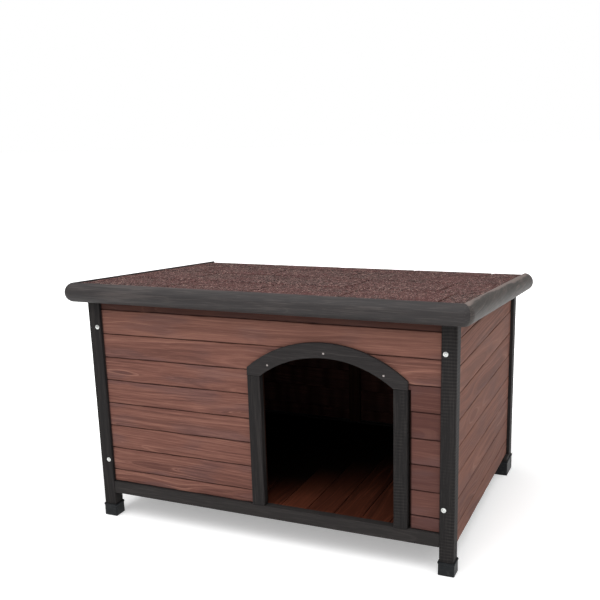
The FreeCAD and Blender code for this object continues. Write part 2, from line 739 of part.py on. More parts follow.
def stay_geometry():
    """Pivot, wall pin and chords, in the roof frame.

    Pivot and wall pin are equally far from the hinge axis, so the stay between them turns
    by exactly half of the angle that the roof turns by.
    """
    drop = cell("stay_drop") + cell("hinge_z")
    radius = math.hypot(cell("stay_reach"), drop)
    low = math.degrees(math.atan2(drop, cell("stay_reach")))
    lag = cell("stay_lag")
    wall = math.radians(low + lag)
    pivot = (cell("hinge_y") - cell("stay_reach"), -cell("stay_drop"))
    pin = (cell("hinge_y") - radius * math.cos(wall), cell("hinge_z") - radius * math.sin(wall))
    closed = 2 * radius * math.sin(math.radians(lag / 2))
    opened = 2 * radius * math.sin(math.radians((lag + cell("open_angle")) / 2))
    return pivot, pin, closed, opened, low + lag / 2


def stay_arm(side):
    """Slotted arm, drawn hanging straight down from its pivot, then turned into place."""
    pivot, pin, closed, opened, turn = stay_geometry()
    half = cell("stay_width") / 2
    name = side + "_arm"
    thick = "{stay_thickness}"
    start = "-{stay_thickness} / 2"
    slot = "({stay_pin_radius} + {stay_play})"
    low, high = -opened - 0.4, -closed + 0.4
    body = [block(name + "_bar", (start, "-{stay_width} / 2", low), (thick, "{stay_width}", -low)),
            rod(name + "_top", "x", half, thick, (start, "0", "0")),
            rod(name + "_end", "x", half, thick, (start, "0", low))]
    holes = [rod(name + "_hole", "x", "{stay_pin_radius} + {pin_play}", "20", ("-10", "0", "0")),
             rod(name + "_slot_top", "x", slot, "20", ("-10", "0", high)),
             rod(name + "_slot_end", "x", slot, "20", ("-10", "0", low)),
             block(name + "_slot", ("-10", "-" + slot, low), ("20", "2 * " + slot, high - low))]
    arm = cut(name, fuse(name + "_solid", body), fuse(name + "_holes", holes))
    x = cell("stay_x") if side == "right" else -cell("stay_x")
    place = FreeCAD.Placement(Vector(x, pivot[0], pivot[1]), FreeCAD.Rotation(Vector(1, 0, 0), turn))
    arm.Placement = roof_frame().multiply(place)
    keep(arm, side + "_stay_arm")
    print("stay slot: pin %.1f to %.1f mm from the pivot" % (closed, opened))


def stay_brackets():
    pivot, pin, closed, opened, turn = stay_geometry()
    lid_pieces, wall_pieces = [], []
    half = "({bracket_size} / 2)"
    plate = "{stay_x} + {stay_thickness} / 2 + 0.8"
    head = "{stay_x} - {stay_thickness} / 2 - 2.6"
    for side in ("left", "right"):
        def across(near, width):
            return mirrored_x(side, near, width)
        name = side + "_lid_bracket"
        y = "%s - {bracket_size} / 2" % pivot[0]
        reach = "(%s - (%s) + 0.1)" % (plate, head)
        lid_pieces.append(fuse(name, [
            block(name + "_leaf", (across(plate + " - 26", "28"), y, "-2"), ("28", "{bracket_size}", "2")),
            block(name + "_ear", (across(plate, "2"), y, "-22"), ("2", "{bracket_size}", "22")),
            rod(name + "_pin", "x", "{stay_pin_radius}", reach, (across(head, reach), pivot[0], pivot[1])),
            rod(name + "_head", "x", "5", "1.4", (across(head, "1.4"), pivot[0], pivot[1]))]))
        name = side + "_wall_bracket"
        reach = "(%s - (%s))" % (INNER_X, head)
        wall_pieces.append(fuse(name, [
            block(name + "_plate", (across(INNER_X + " - 2", "2"), "%s - %s" % (pin[0], half),
                                    "%s - %s" % (pin[1], half)), ("2", "{bracket_size}", "{bracket_size}")),
            rod(name + "_pin", "x", "{stay_pin_radius}", reach, (across(head, reach), pin[0], pin[1])),
            rod(name + "_head", "x", "5", "1.4", (across(head, "1.4"), pin[0], pin[1]))]))
    tilt(lid_pieces, "stay_lid_brackets")
    tilt(wall_pieces, "stay_wall_brackets")


# ---- assembly --------------------------------------------------------------------

def check():
    """Every object has to be sound before anything is written."""
    doc.recompute()
    for item in doc.Objects:
        if "Invalid" in item.State or "Error" in item.State:
            raise RuntimeError("%s is not sound: %s" % (item.Name, item.State))
    for item in parts:
        if item.Shape.isNull() or not item.Shape.isValid() or not item.Shape.Solids:
            raise RuntimeError("%s has no valid shape" % item.Label)


def main():
    fill_sheet()
    for side in ("left", "right"):
        for end in ("front", "rear"):
            leg(side, end)
            foot_cap(side, end)
        foot_block(side)
    rails()
    rear_top_rail()
    battens()
    cabin_floor()
    front_wall()
    rear_wall()
    for side in ("left", "right"):
        side_wall(side)
    door_trim()
    arch_nails()
    leg_screws()
    deck()
    trims()
    shingles()
    for number in (-1, 0, 1):
        hinge_leaf(number, "wall")
        hinge_leaf(number, "lid")
    hinge_pins()
    hinge_screws("wall", WALL_SCREW_OFFSETS, "{hinge_y} - 22", "-{leaf_thickness} - {knuckle_gap} + 0.15",
                 -1, "18")
    hinge_screws("lid", LID_SCREW_OFFSETS, "{hinge_y} - 14", "-{leaf_thickness} - 0.15", 1, "8")
    for side in ("left", "right"):
        stay_arm(side)
    stay_brackets()
    check()
    os.makedirs("parts", exist_ok=True)
    whole = FreeCAD.BoundBox()
    for item in parts:
        item.Shape.exportStep("parts/%s.step" % item.Label)
        whole.add(item.Shape.BoundBox)
    print("%d sub-parts" % len(parts))
    print("outline x %.2f to %.2f, y %.2f to %.2f, z %.2f to %.2f" % (
        whole.XMin, whole.XMax, whole.YMin, whole.YMax, whole.ZMin, whole.ZMax))


main()
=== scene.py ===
import math

import bpy
import numpy as np
from bpy.props import FloatProperty, FloatVectorProperty, PointerProperty
from mathutils import Matrix, Vector


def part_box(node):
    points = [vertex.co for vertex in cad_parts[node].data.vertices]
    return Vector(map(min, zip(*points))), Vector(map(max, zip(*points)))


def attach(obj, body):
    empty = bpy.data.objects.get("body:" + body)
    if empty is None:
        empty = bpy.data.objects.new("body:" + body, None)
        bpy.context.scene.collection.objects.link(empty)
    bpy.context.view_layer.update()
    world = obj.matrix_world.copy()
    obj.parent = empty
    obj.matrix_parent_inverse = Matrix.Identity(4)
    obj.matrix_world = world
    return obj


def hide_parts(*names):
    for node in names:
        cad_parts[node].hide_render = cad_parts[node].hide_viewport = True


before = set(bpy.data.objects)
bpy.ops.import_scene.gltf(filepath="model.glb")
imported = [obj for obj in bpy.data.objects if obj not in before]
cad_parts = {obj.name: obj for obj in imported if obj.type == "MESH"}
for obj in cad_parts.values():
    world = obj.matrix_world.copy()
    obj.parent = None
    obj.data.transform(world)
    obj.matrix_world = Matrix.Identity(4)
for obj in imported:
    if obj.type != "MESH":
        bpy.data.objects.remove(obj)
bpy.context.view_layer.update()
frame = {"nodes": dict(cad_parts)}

bl_info = {
    "name": "Dog house finish",
    "version": (1, 0, 0),
    "blender": (4, 5, 0),
    "location": "View3D > Sidebar > Dog house",
    "description": "Timber, shingles, plastic and zinc for a packed dog house, and its studio",
    "category": "Object",
}

MM = 0.001
NODES = frame["nodes"]
# Of each axis: itself and the two across it
AXES = {"x": (0, 1, 2), "y": (1, 0, 2), "z": (2, 0, 1)}


def srgb(red, green, blue):
    """A colour of 0 to 255 steps, as seen on a screen, in Blender's linear numbers."""
    steps = np.array([red, green, blue]) / 255
    return tuple(np.where(steps <= 0.04045, steps / 12.92, ((steps + 0.055) / 1.055) ** 2.4))


# ---- what a user may change --------------------------------------------------------

def colour(label, steps, description):
    return FloatVectorProperty(name=label, description=description, subtype="COLOR", size=3,
                               min=0, max=1, default=srgb(*steps))


def length(label, metres, description):
    return FloatProperty(name=label, description=description, subtype="DISTANCE", unit="LENGTH",
                         min=0, default=metres, precision=4)


class DogHouseColours(bpy.types.PropertyGroup):
    plank: colour("Planks", (122, 83, 73), "Stain of the wall planks")
    plank_light: colour("Plank streaks", (164, 119, 103), "Pale early wood in the planks")
    plank_dark: colour("Plank grain", (82, 54, 50), "Dark late wood in the planks")
    plank_cool: colour("Plank shadow", (98, 74, 73), "Purple-grey areas in the planks")
    # Seam: colour of painted shade along the planks' edges, over their inner faces, at their ends
    # and under the eave
    seam: colour("Seam", (44, 26, 24), "Stain gathered along the edges of a plank")
    side_plank: colour("Side planks", (131, 90, 77), "Paler stain of the side walls")
    side_light: colour("Side streaks", (156, 118, 104), "Pale streaks in the side walls")
    side_dark: colour("Side grain", (92, 64, 58), "Dark grain in the side walls")
    side_cool: colour("Side shadow", (112, 82, 76), "Greyer areas in the side walls")
    # Side seam: colour of painted shade along the side planks' edges, over their inner faces and at
    # their ends
    side_seam_shade: colour("Side seam", (62, 40, 36), "Stain along the side planks' edges")
    short_plank: colour("Short planks", (94, 62, 56), "Darker stain right of the doorway")
    short_light: colour("Short streaks", (128, 90, 80), "Pale streaks in the short planks")
    frame: colour("Frame", (37, 35, 35), "Charcoal stain of legs, rails and jambs")
    # Frame wear: worn places, and the painted highlight on the planer's ribs
    frame_wear_and_highlight: colour("Frame wear", (80, 75, 73), "Where the charcoal stain is thin")
    frame_dark: colour("Frame grain", (28, 26, 26), "Dark grain in the frame")
    # Colour of the frame's grain and of the painted shade in the planer's grooves
    frame_ribs: colour("Frame ribs", (20, 19, 19), "Grooves that a planer left in some bars")
    arch: colour("Arch", (50, 47, 47), "Paler charcoal of the door arch")
    arch_worn: colour("Arch wear", (92, 87, 85), "Where the arch's stain is thin")
    arch_dark: colour("Arch grain", (36, 34, 34), "Dark grain in the arch")
    trim: colour("Roof trim", (47, 44, 44), "Stain of the mouldings round the roof")
    # Trim wear: pale streaks, and the painted highlight on the mouldings' crest
    trim_wear_and_highlight: colour("Roof trim wear", (100, 92, 89), "Pale streaks on the mouldings")
    trim_dark: colour("Roof trim grain", (34, 31, 32), "Dark grain in the mouldings")
    # Right moulding: paler copies of the trim colours, painted light for its lit side; the wear
    # colour also paints a highlight on its crest
    lit_trim: colour("Faded trim", (64, 60, 57), "Stain of the right moulding")
    lit_trim_wear_and_highlight: colour("Faded trim wear", (132, 118, 112), "Pale crest of the right moulding")
    lit_trim_dark: colour("Faded trim grain", (46, 43, 41), "Dark grain in the right moulding")
    inside: colour("Inner timber", (50, 32, 26), "Battens, stiles and bearers")
    inside_light: colour("Inner streaks", (80, 52, 42), "Pale streaks in the inner timber")
    inside_dark: colour("Inner grain", (28, 20, 18), "Dark grain in the inner timber")
    floor: colour("Floor", (74, 37, 25), "Stain of the floor boards")
    floor_light: colour("Floor streaks", (120, 66, 46), "Pale streaks in the floor boards")
    floor_dark: colour("Floor grain", (44, 22, 16), "Dark grain in the floor boards")
    # Colour of painted shade towards the rear of the floor, deep inside the house
    floor_painted_shade: colour("Floor dirt", (12, 6, 4), "Dirt towards the rear of the floor")
    ply: colour("Plywood", (74, 36, 24), "Underside of the roof")
    ply_light: colour("Plywood streaks", (112, 62, 44), "Pale streaks in the plywood")
    ply_dark: colour("Plywood grain", (44, 22, 16), "Dark grain in the plywood")
    granule_red: colour("Red granules", (88, 54, 52), "Main colour of the shingles")
    granule_dark: colour("Dark granules", (34, 28, 28), "Dark part of the shingle blend")
    granule_pale: colour("Pale granules", (160, 134, 125), "Pale part of the shingle blend")
    cap: colour("Foot caps", (18, 21, 24), "Moulded plastic shoes")
    dust: colour("Dust", (96, 96, 94), "Dust and scuffs on the foot caps")
    zinc: colour("Zinc", (222, 224, 222), "Plated steel of hinges, stays and screws")
    zinc_dull: colour("Dull zinc", (120, 118, 112), "Tarnish on the plated steel")
    nail: colour("Nails", (150, 142, 140), "Steel of the nails in the arch")


class DogHouseSizes(bpy.types.PropertyGroup):
    plank_round: length("Plank edge", 0.0028, "Radius of the long edges of a plank")
    plank_wander: length("Plank wander", 0.0011, "How far a seam strays from a straight line")
    timber_round: length("Timber edge", 0.0022, "Radius of the edges of legs and rails")
    arch_round: length("Arch edge", 0.0016, "Radius of the door arch's edges")
    cap_round: length("Cap edge", 0.0032, "Radius of the upright edges of a foot cap")
    screw_head: length("Screw head", 0.0064, "Radius of the washer under a leg screw's head")
    nail_head: length("Nail head", 0.0028, "Radius of a nail in the arch")
    shingle_curl: length("Shingle curl", 0.0002, "How far the front edge of a tab lifts")


class DogHouseStudio(bpy.types.PropertyGroup):
    azimuth: FloatProperty(name="Azimuth", description="Camera right of the doorway's axis",
                           subtype="ANGLE", default=math.radians(25.27))
    elevation: FloatProperty(name="Elevation", description="How steeply the camera looks down",
                             subtype="ANGLE", default=math.radians(14.5))
    roll: FloatProperty(name="Roll", description="Camera turn about its own view",
                        subtype="ANGLE", default=math.radians(-2.06))
    place: FloatVectorProperty(name="Camera place", description="Where the camera stands",
                               subtype="TRANSLATION", size=3, default=(0.9955, -2.3494, 1.1275))
    lens: FloatProperty(name="Lens", description="Focal length in mm", min=1, default=53.03)
    shift: FloatVectorProperty(name="Shift", description="Camera shift, as a picture's share",
                               size=2, default=(0.0391, 0.0794))
    sky: FloatProperty(name="Sky", description="Strength of the white surroundings",
                       min=0, default=0.36)
    glow: FloatProperty(name="Floor glow", description="Light added to the floor's near part",
                        min=0, max=1, default=0.35)
    top: FloatProperty(name="Top lamp", description="Watts of the wide lamp overhead",
                       min=0, default=125)
    key: FloatProperty(name="Key lamp", description="Watts of the lamp in front",
                       min=0, default=66)
    side: FloatProperty(name="Side lamp", description="Watts of the lamp on the right",
                        min=0, default=16)


def settings(context):
    """The colours and sizes that the operators read."""
    return context.scene.dog_house_colours, context.scene.dog_house_sizes


# ---- shader nodes ------------------------------------------------------------------

class Value:
    """One output socket. Arithmetic on it adds Math nodes to its material."""

    def __init__(self, shader, socket):
        self.shader = shader
        self.socket = socket

    def math(self, operation, *values):
        return self.shader.add("ShaderNodeMath", dict(enumerate(values)), operation=operation)

    def __add__(self, other):
        return self.math("ADD", self, other)

    def __sub__(self, other):
        return self.math("SUBTRACT", self, other)

    def __mul__(self, other):
        return self.math("MULTIPLY", self, other)

    def __pow__(self, other):
        return self.math("POWER", self, other)

    def __radd__(self, other):
        return self.math("ADD", other, self)

    def __rsub__(self, other):
        return self.math("SUBTRACT", other, self)

    def __rmul__(self, other):
        return self.math("MULTIPLY", other, self)

    def __rpow__(self, other):
        return self.math("POWER", other, self)

    def sine(self):
        return self.math("SINE", self)

    def over(self, low, high):
        """0 below low, 1 above high, smooth between them; falling if low is the larger."""
        return self.shader.add("ShaderNodeMapRange",
                               {"Value": self, "From Min": low, "From Max": high},
                               interpolation_type="SMOOTHSTEP")


class Shader:
    """A material's nodes, made with add()."""

    def __init__(self, name):
        self.material = bpy.data.materials.new(name)
        self.material.use_nodes = True
        self.nodes = self.material.node_tree.nodes
        self.links = self.material.node_tree.links
        self.surface = self.nodes["Principled BSDF"]

    def feed(self, node, sockets):
        for key, value in sockets.items():
            if isinstance(value, Value):
                self.links.new(value.socket, node.inputs[key])
            else:
                node.inputs[key].default_value = value

    def add(self, kind, sockets=None, output=0, **settings):
        """A node of one kind: its settings first, then the values or links of its sockets."""
        node = self.nodes.new(kind)
        for key, value in settings.items():
            setattr(node, key, value)
        self.feed(node, sockets or {})
        return Value(self, node.outputs[output])

    def noise(self, vector, scale, detail=2.0, roughness=0.5):
        return self.add("ShaderNodeTexNoise", {"Vector": vector, "Scale": scale, "Detail": detail,
                                               "Roughness": roughness})

    def cells(self, vector, scale, output="Color"):
        return self.add("ShaderNodeTexVoronoi", {"Vector": vector, "Scale": scale}, output=output)

    def stretch(self, vector, scale):
        return self.add("ShaderNodeMapping", {"Vector": vector, "Scale": scale})

    def split(self, vector):
        parts = self.add("ShaderNodeSeparateXYZ", {"Vector": vector})
        return [Value(self, socket) for socket in parts.socket.node.outputs]

    def join(self, x, y, z):
        return self.add("ShaderNodeCombineXYZ", {"X": x, "Y": y, "Z": z})

    def attribute(self, name, output):
        return self.add("ShaderNodeAttribute", attribute_name=name, output=output)

    def place(self):
        return self.add("ShaderNodeTexCoord", output="Object")

    def mix(self, factor, first, second):
        """A blend of two colours, which may be fixed or linked."""
        first, second = (v if isinstance(v, Value) else (*v, 1) for v in (first, second))
        return self.add("ShaderNodeMix", {0: factor, 6: first, 7: second}, output=2,
                        data_type="RGBA")

    def bump(self, height, distance, strength):
        return self.add("ShaderNodeBump", {"Height": height, "Distance": distance,
                                           "Strength": strength})

    def finish(self, **sockets):
        """Feeds the surface; the names' underscores stand for spaces."""
        self.feed(self.surface, {key.replace("_", " "): v for key, v in sockets.items()})
        return self.material


def wood(name, base, light, dark, cool=None, seam=None, streak=1.0, wear=0.0, ribs=0.0,
         relief=0.00035, rough=0.65, specular=0.05, knots=True, carried_over=False):
    """Stained softwood. The grain attribute holds metres along and across each piece.

    Growth rings are circles round a pith line that lies a little beside the piece and leans
    along it, so a flat cut shows long arches. Slow noise bends them. Streaks are noise in
    distance from the pith and, far slower, in place along the piece, so they follow the
    rings; fine noise stretched along the grain gives fibres. Ribs are a sine along the piece,
    the marks of a planer, with a painted highlight on their ridges and painted shade in their
    grooves. The seam attribute lays painted shade along edges and in other shaded places, and
    the wear attribute, where a piece has one, gathers worn places and, on the mouldings'
    crest, a painted highlight. A carried-over CAD node has no attributes: its grain runs along
    X.
    """
    s = Shader(name)
    grain = s.place() if carried_over else s.attribute("grain", "Vector")
    tone = s.attribute("tone", "Fac")
    along, across, deep = s.split(grain)
    slow = s.noise(s.stretch(grain, (2.2, 9, 9)), 1, 2) - 0.5
    bend = s.noise(s.stretch(grain, (6, 22, 22)), 1, 1) - 0.5
    pith = (tone - 0.5) * 0.11
    side = across - pith + slow * 0.05 + bend * 0.008
    below = deep + 0.02 + slow * 0.03 + (along * 3.1 + tone * 40).sine() * 0.014
    ring = (side * side + below * below) ** 0.5
    if knots:
        knot = s.cells(s.stretch(grain, (3.1, 13, 4)), 1, "Distance").over(0.2, 0.03)
        ring = ring + knot * 0.012
    late = ((ring * 880).sine() * 0.5 + 0.5) ** 2.2
    bands = s.noise(s.join(along * 1.4, ring * 130, tone * 31), 1, 2, 0.6)
    lines = s.noise(s.join(along * 2.3, ring * 330, tone * 17 + 5), 1, 2, 0.6)
    fine = s.noise(s.stretch(grain, (16, 420, 420)), 1, 3, 0.6)
    cloud = s.noise(s.stretch(grain, (4, 15, 15)), 1, 2)
    shade = s.mix(late * 0.3 * streak, base, dark)
    if cool is not None:
        shade = s.mix((cloud - 0.5).over(0, 0.14) * 0.55, shade, cool)
    shade = s.mix(bands.over(0.5, 0.34) * 0.6 * streak, shade, dark)
    shade = s.mix(bands.over(0.52, 0.7) * 0.35 * streak, shade, light)
    shade = s.mix(lines.over(0.6, 0.7) * 0.6 * streak, shade, light)
    shade = s.mix((fine - 0.5).over(0, 0.2) * 0.25, shade, light)
    shade = s.mix((0.5 - fine).over(0, 0.2) * 0.35, shade, dark)
    if knots:
        shade = s.mix(knot * 0.5, shade, dark)
    if wear:
        rubbed = s.noise(s.stretch(grain, (5, 110, 110)), 1, 3, 0.65)
        patch = s.noise(s.stretch(grain, (3, 14, 14)), 1, 1)
        # The wear attribute: worn places, and on the mouldings' crest a painted highlight
        edge = s.attribute("wear", "Fac")
        rubbed = (rubbed * 0.6 + patch * 0.6 + edge * 0.16 - 0.66).over(0, 0.16)
        shade = s.mix(rubbed * wear, shade, light)
    height = fine * 0.5 + late * 0.3 + bands * 0.4
    if ribs:
        saw = (along * 745 + slow * 7 + bend * 4).sine()
        strength = s.noise(s.stretch(grain, (9, 30, 30)), 1, 1).over(0.4, 0.66)
        height = height + saw * ribs
        # Painted highlight on the ribs' ridges and painted shade in their grooves
        shade = s.mix(saw.over(0, 1) * strength * 0.16, shade, light)
        shade = s.mix(saw.over(0, -1) * strength * 0.4, shade, dark)
    shade = s.mix(tone.over(0.5, 1) * 0.16, shade, light)
    shade = s.mix(tone.over(0.5, 0) * 0.3, shade, dark)
    # Painted shade from the seam attribute, in the seam colour
    if seam is not None:
        shade = s.mix(s.attribute("seam", "Fac"), shade, seam)
    return s.finish(Base_Color=shade, Roughness=rough + (fine - 0.5) * 0.3,
                    Normal=s.bump(height, relief, 0.8), Specular_IOR_Level=specular)


def granules(name, red, dark, pale):
    """Mineral granules: cells under two millimetres of mixed colours, in drifting blends."""
    s = Shader(name)
    place = s.place()
    tab = s.attribute("tone", "Fac")
    grit = s.split(s.cells(place, 440))
    clump = s.split(s.cells(place, 165))
    drift = s.noise(place, 7, 2) * 0.9 + tab * 0.2
    shade = s.mix((grit[0] + clump[0] * 0.7 + drift - 1.5).over(-0.1, 0.1), red, dark)
    bright = grit[1] * 0.8 + clump[1] * 0.6 + drift * 0.2 - 1.12
    shade = s.mix(bright.over(-0.02, 0.08), shade, pale)
    shade = s.mix((grit[2] - 0.85).over(0, 0.05) * 0.8, shade, dark)
    edge = s.cells(place, 440, "Distance")
    worn = s.noise(place, 34, 2)
    height = (1 - edge) * 0.8 + grit[0] * 0.5 + worn * 0.5
    return s.finish(Base_Color=shade, Roughness=0.85 + (grit[1] - 0.5) * 0.16,
                    Normal=s.bump(height, 0.0009, 0.9), Specular_IOR_Level=0.15)


def moulded_plastic(name, base, dusty):
    """Fine-grained plastic with dust and scuffs."""
    s = Shader(name)
    place = s.place()
    fine = s.noise(place, 1100, 2)
    dust = s.noise(place, 60, 4, 0.65).over(0.5, 0.75)
    scuff = s.noise(s.stretch(place, (40, 40, 420)), 1, 3, 0.6).over(0.58, 0.72)
    shade = s.mix(dust * 0.22 + scuff * 0.12, base, dusty)
    return s.finish(Base_Color=shade, Roughness=0.42 + dust * 0.22 + fine * 0.1,
                    Normal=s.bump(fine + scuff * 0.6, 0.0002, 0.5), Specular_IOR_Level=0.2)


def zinc(name, base, tarnished):
    """Plated steel with faint spangle and dull patches."""
    s = Shader(name)
    place = s.place()
    spangle = s.split(s.cells(place, 260))[0]
    dull = s.noise(place, 90, 3, 0.6).over(0.4, 0.75)
    shade = s.mix(dull * 0.5 + spangle * 0.15, base, tarnished)
    return s.finish(Base_Color=shade, Metallic=1.0, Roughness=0.28 + dull * 0.3 + spangle * 0.06,
                    Normal=s.bump(s.noise(place, 700, 2), 0.0001, 0.4))


# ---- surfaces ----------------------------------------------------------------------

def waves(t, seed, period):
    """Smooth noise from -1 to 1: the mean of three sines with seeded phases."""
    phases = np.random.default_rng(seed).uniform(0, 2 * np.pi, 3)
    return sum(np.sin(2 * np.pi * t / (period * scale) + phase)
               for scale, phase in zip((1.0, 0.61, 0.37), phases)) / 3


class Piece:
    """Closed surfaces that make one object, each with its own grain and tone."""

    def __init__(self, name):
        self.name = name
        self.points = []
        self.faces = []
        # seam holds painted shade; wear holds wear and, on the mouldings' crest, a painted
        # highlight
        self.values = {"grain": [], "tone": [], "seam": [], "wear": []}
        self.count = 0

    def loft(self, rings, axis="x", seed=0, tone=None, seam=0.0, wear=0.0):
        """Skins a closed profile carried along stations, rings[station, point], and caps it.

        Faces join each point to its neighbour on the profile and at the next station. The
        signed volume, a sum over triangles with the origin, tells whether they point out.
        """
        stations, around, _ = rings.shape
        index = np.arange(stations * around).reshape(stations, around)
        ahead = np.roll(index, -1, axis=1)
        quads = np.stack([index[:-1], ahead[:-1], ahead[1:], index[1:]], axis=-1).reshape(-1, 4)
        ends = [index[0][::-1], index[-1]]
        points = rings.reshape(-1, 3)
        fans = [np.stack([np.full(around - 2, e[0]), e[1:-1], e[2:]], axis=-1) for e in ends]
        triangles = np.concatenate([quads[:, :3], quads[:, [0, 2, 3]], *fans])
        a, b, c = (points[triangles[:, i]] - points.mean(axis=0) for i in range(3))
        faces = quads.tolist() + [e.tolist() for e in ends]
        if np.einsum("ij,ij->i", a, np.cross(b, c)).sum() < 0:
            faces = [face[::-1] for face in faces]
        self.faces += [[i + self.count for i in face] for face in faces]
        self.count += len(points)
        self.points.append(points)
        chance = np.random.default_rng(seed + 1000)
        local = (points - (points.min(axis=0) + points.max(axis=0)) / 2)[:, AXES[axis]]
        self.values["grain"].append(local + [chance.uniform(0, 9), 0, 0])
        tone = chance.uniform(0, 1) if tone is None else tone
        self.values["tone"].append(np.full(len(points), tone))
        self.values["seam"].append(np.broadcast_to(seam, (stations, around)).ravel())
        self.values["wear"].append(np.broadcast_to(wear, (stations, around)).ravel())

    def build(self, material, body, slot, *replaced, smooth=30):
        mesh = bpy.data.meshes.new(self.name)
        mesh.from_pydata(np.concatenate(self.points).tolist(), [], self.faces)
        for key, rows in self.values.items():
            kind, field = ("FLOAT_VECTOR", "vector") if key == "grain" else ("FLOAT", "value")
            layer = mesh.attributes.new(key, kind, "POINT")
            layer.data.foreach_set(field, np.concatenate(rows).astype(np.float32).ravel())
        mesh.materials.append(material)
        mesh.shade_smooth()
        mesh.set_sharp_from_angle(angle=math.radians(smooth))
        piece = bpy.data.objects.new(self.name, mesh)
        bpy.context.scene.collection.objects.link(piece)
        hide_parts(*replaced)
        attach(piece, body)


def on_axis(axis, along, across, deep):
    """Points from a place along an axis and two places across it, in AXES order."""
    parts = np.stack(np.broadcast_arrays(along, across, deep), axis=-1)
    out = np.empty_like(parts)
    out[..., list(AXES[axis])] = parts
    return out


def rounded_profile(half_a, half_b, radius, steps=4, face=3):
    """A rounded rectangle as two arrays: four quarter circles joined by straight runs."""
    quarter = np.linspace(0, np.pi / 2, steps)
    corners = []
    for turn, (sign_a, sign_b) in enumerate(((1, 1), (-1, 1), (-1, -1), (1, -1))):
        angle = quarter + turn * np.pi / 2
        corners.append(np.stack([sign_a * (half_a - radius) + radius * np.cos(angle),
                                 sign_b * (half_b - radius) + radius * np.sin(angle)], axis=-1))
    loop = []
    for corner, following in zip(corners, corners[1:] + corners[:1]):
        run = np.linspace(0, 1, face + 2)[1:-1, None]
        loop += [corner, corner[-1] * (1 - run) + following[0] * run]
    loop = np.concatenate(loop)
    return loop[:, 0], loop[:, 1]


def timber(piece, low, high, axis, radius, seed, stations=26, painted_shade=None):
    """A bar between two corners: a rounded rectangle carried along its axis.

    Its ends are eased: the profile shrinks by the radius over the last stations. A smooth
    wobble moves each face in and out a little, never past the corners. Painted shade, if
    asked for, grows along the bar: from near its start for 0, and from further in and more
    slowly for 1, which also starts a little shaded.
    """
    order = list(AXES[axis])
    low, high = np.array(low)[order], np.array(high)[order]
    middle, half = (low + high) / 2, (high - low) / 2
    ease = min(radius, 1.5 * MM)
    lip = ease * 0.3
    inner = np.linspace(low[0] + ease, high[0] - ease, stations)
    along = np.concatenate([[low[0], low[0] + lip], inner, [high[0] - lip, high[0]]])
    shrink = np.concatenate([[ease, lip], np.zeros(stations), [lip, ease]])
    a, b = rounded_profile(half[1], half[2], radius)
    worn = TIMBER_WOBBLE * (1 + waves(along, seed, 0.31)) / 2
    scale_a = 1 - (shrink + worn) / half[1]
    scale_b = 1 - (shrink + worn * 0.8) / half[2]
    rings = on_axis(axis, along[:, None], middle[1] + a[None] * scale_a[:, None],
                    middle[2] + b[None] * scale_b[:, None])
    # Painted shade along the bar, if asked for, carried in the seam attribute
    painted_shade_ramp = 0.0
    if painted_shade is not None:
        reach = (along - along[0] - 0.03 - 0.22 * painted_shade) / (0.16 + 0.24 * painted_shade)
        first = 0.3 * painted_shade
        painted_shade_ramp = (first + (1 - first) * np.clip(reach, 0, 1) ** 0.8)[:, None]
    piece.loft(rings, axis, seed, seam=painted_shade_ramp)


TIMBER_WOBBLE = 0.25 * MM
PLANK_DEPTH = 12 * MM
TONGUE_NEAR, TONGUE_FAR, TONGUE_TALL = 4 * MM, 8 * MM, 5 * MM
GROOVE_ROOM = 0.3 * MM


def plank_profile(tongue, groove, steps=4, face=7):
    """A tongue-and-groove section, as five arrays over the points of its outline.

    A point's depth is depth + round * radius. Its height is share of the way from the
    plank's lower to its upper edge, plus lift, plus rise * radius.
    """
    quarter = np.linspace(0, np.pi / 2, steps)
    into, up = 1 - np.sin(quarter), 1 - np.cos(quarter)
    share = np.linspace(0, 1, face + 2)[1:-1]
    rows = [(0, i, 0, 0, u) for i, u in zip(into, up)]
    rows += [(0, 0, w, 0, 1 - 2 * w) for w in share]
    rows += [(0, i, 1, 0, -u) for i, u in zip(into[::-1], up[::-1])]
    if tongue:
        rows += [(TONGUE_NEAR, 0, 1, 0, 0), (TONGUE_NEAR, 0, 1, TONGUE_TALL, 0),
                 (TONGUE_FAR, 0, 1, TONGUE_TALL, 0), (TONGUE_FAR, 0, 1, 0, 0)]
    rows += [(PLANK_DEPTH, 0, 1, 0, 0), (PLANK_DEPTH, 0, 0, 0, 0)]
    if groove:
        tall = TONGUE_TALL + GROOVE_ROOM
        near, far = TONGUE_NEAR - GROOVE_ROOM, TONGUE_FAR + GROOVE_ROOM
        rows += [(far, 0, 0, 0, 0), (far, 0, 0, tall, 0), (near, 0, 0, tall, 0),
                 (near, 0, 0, 0, 0)]
    return np.array(rows, float).T


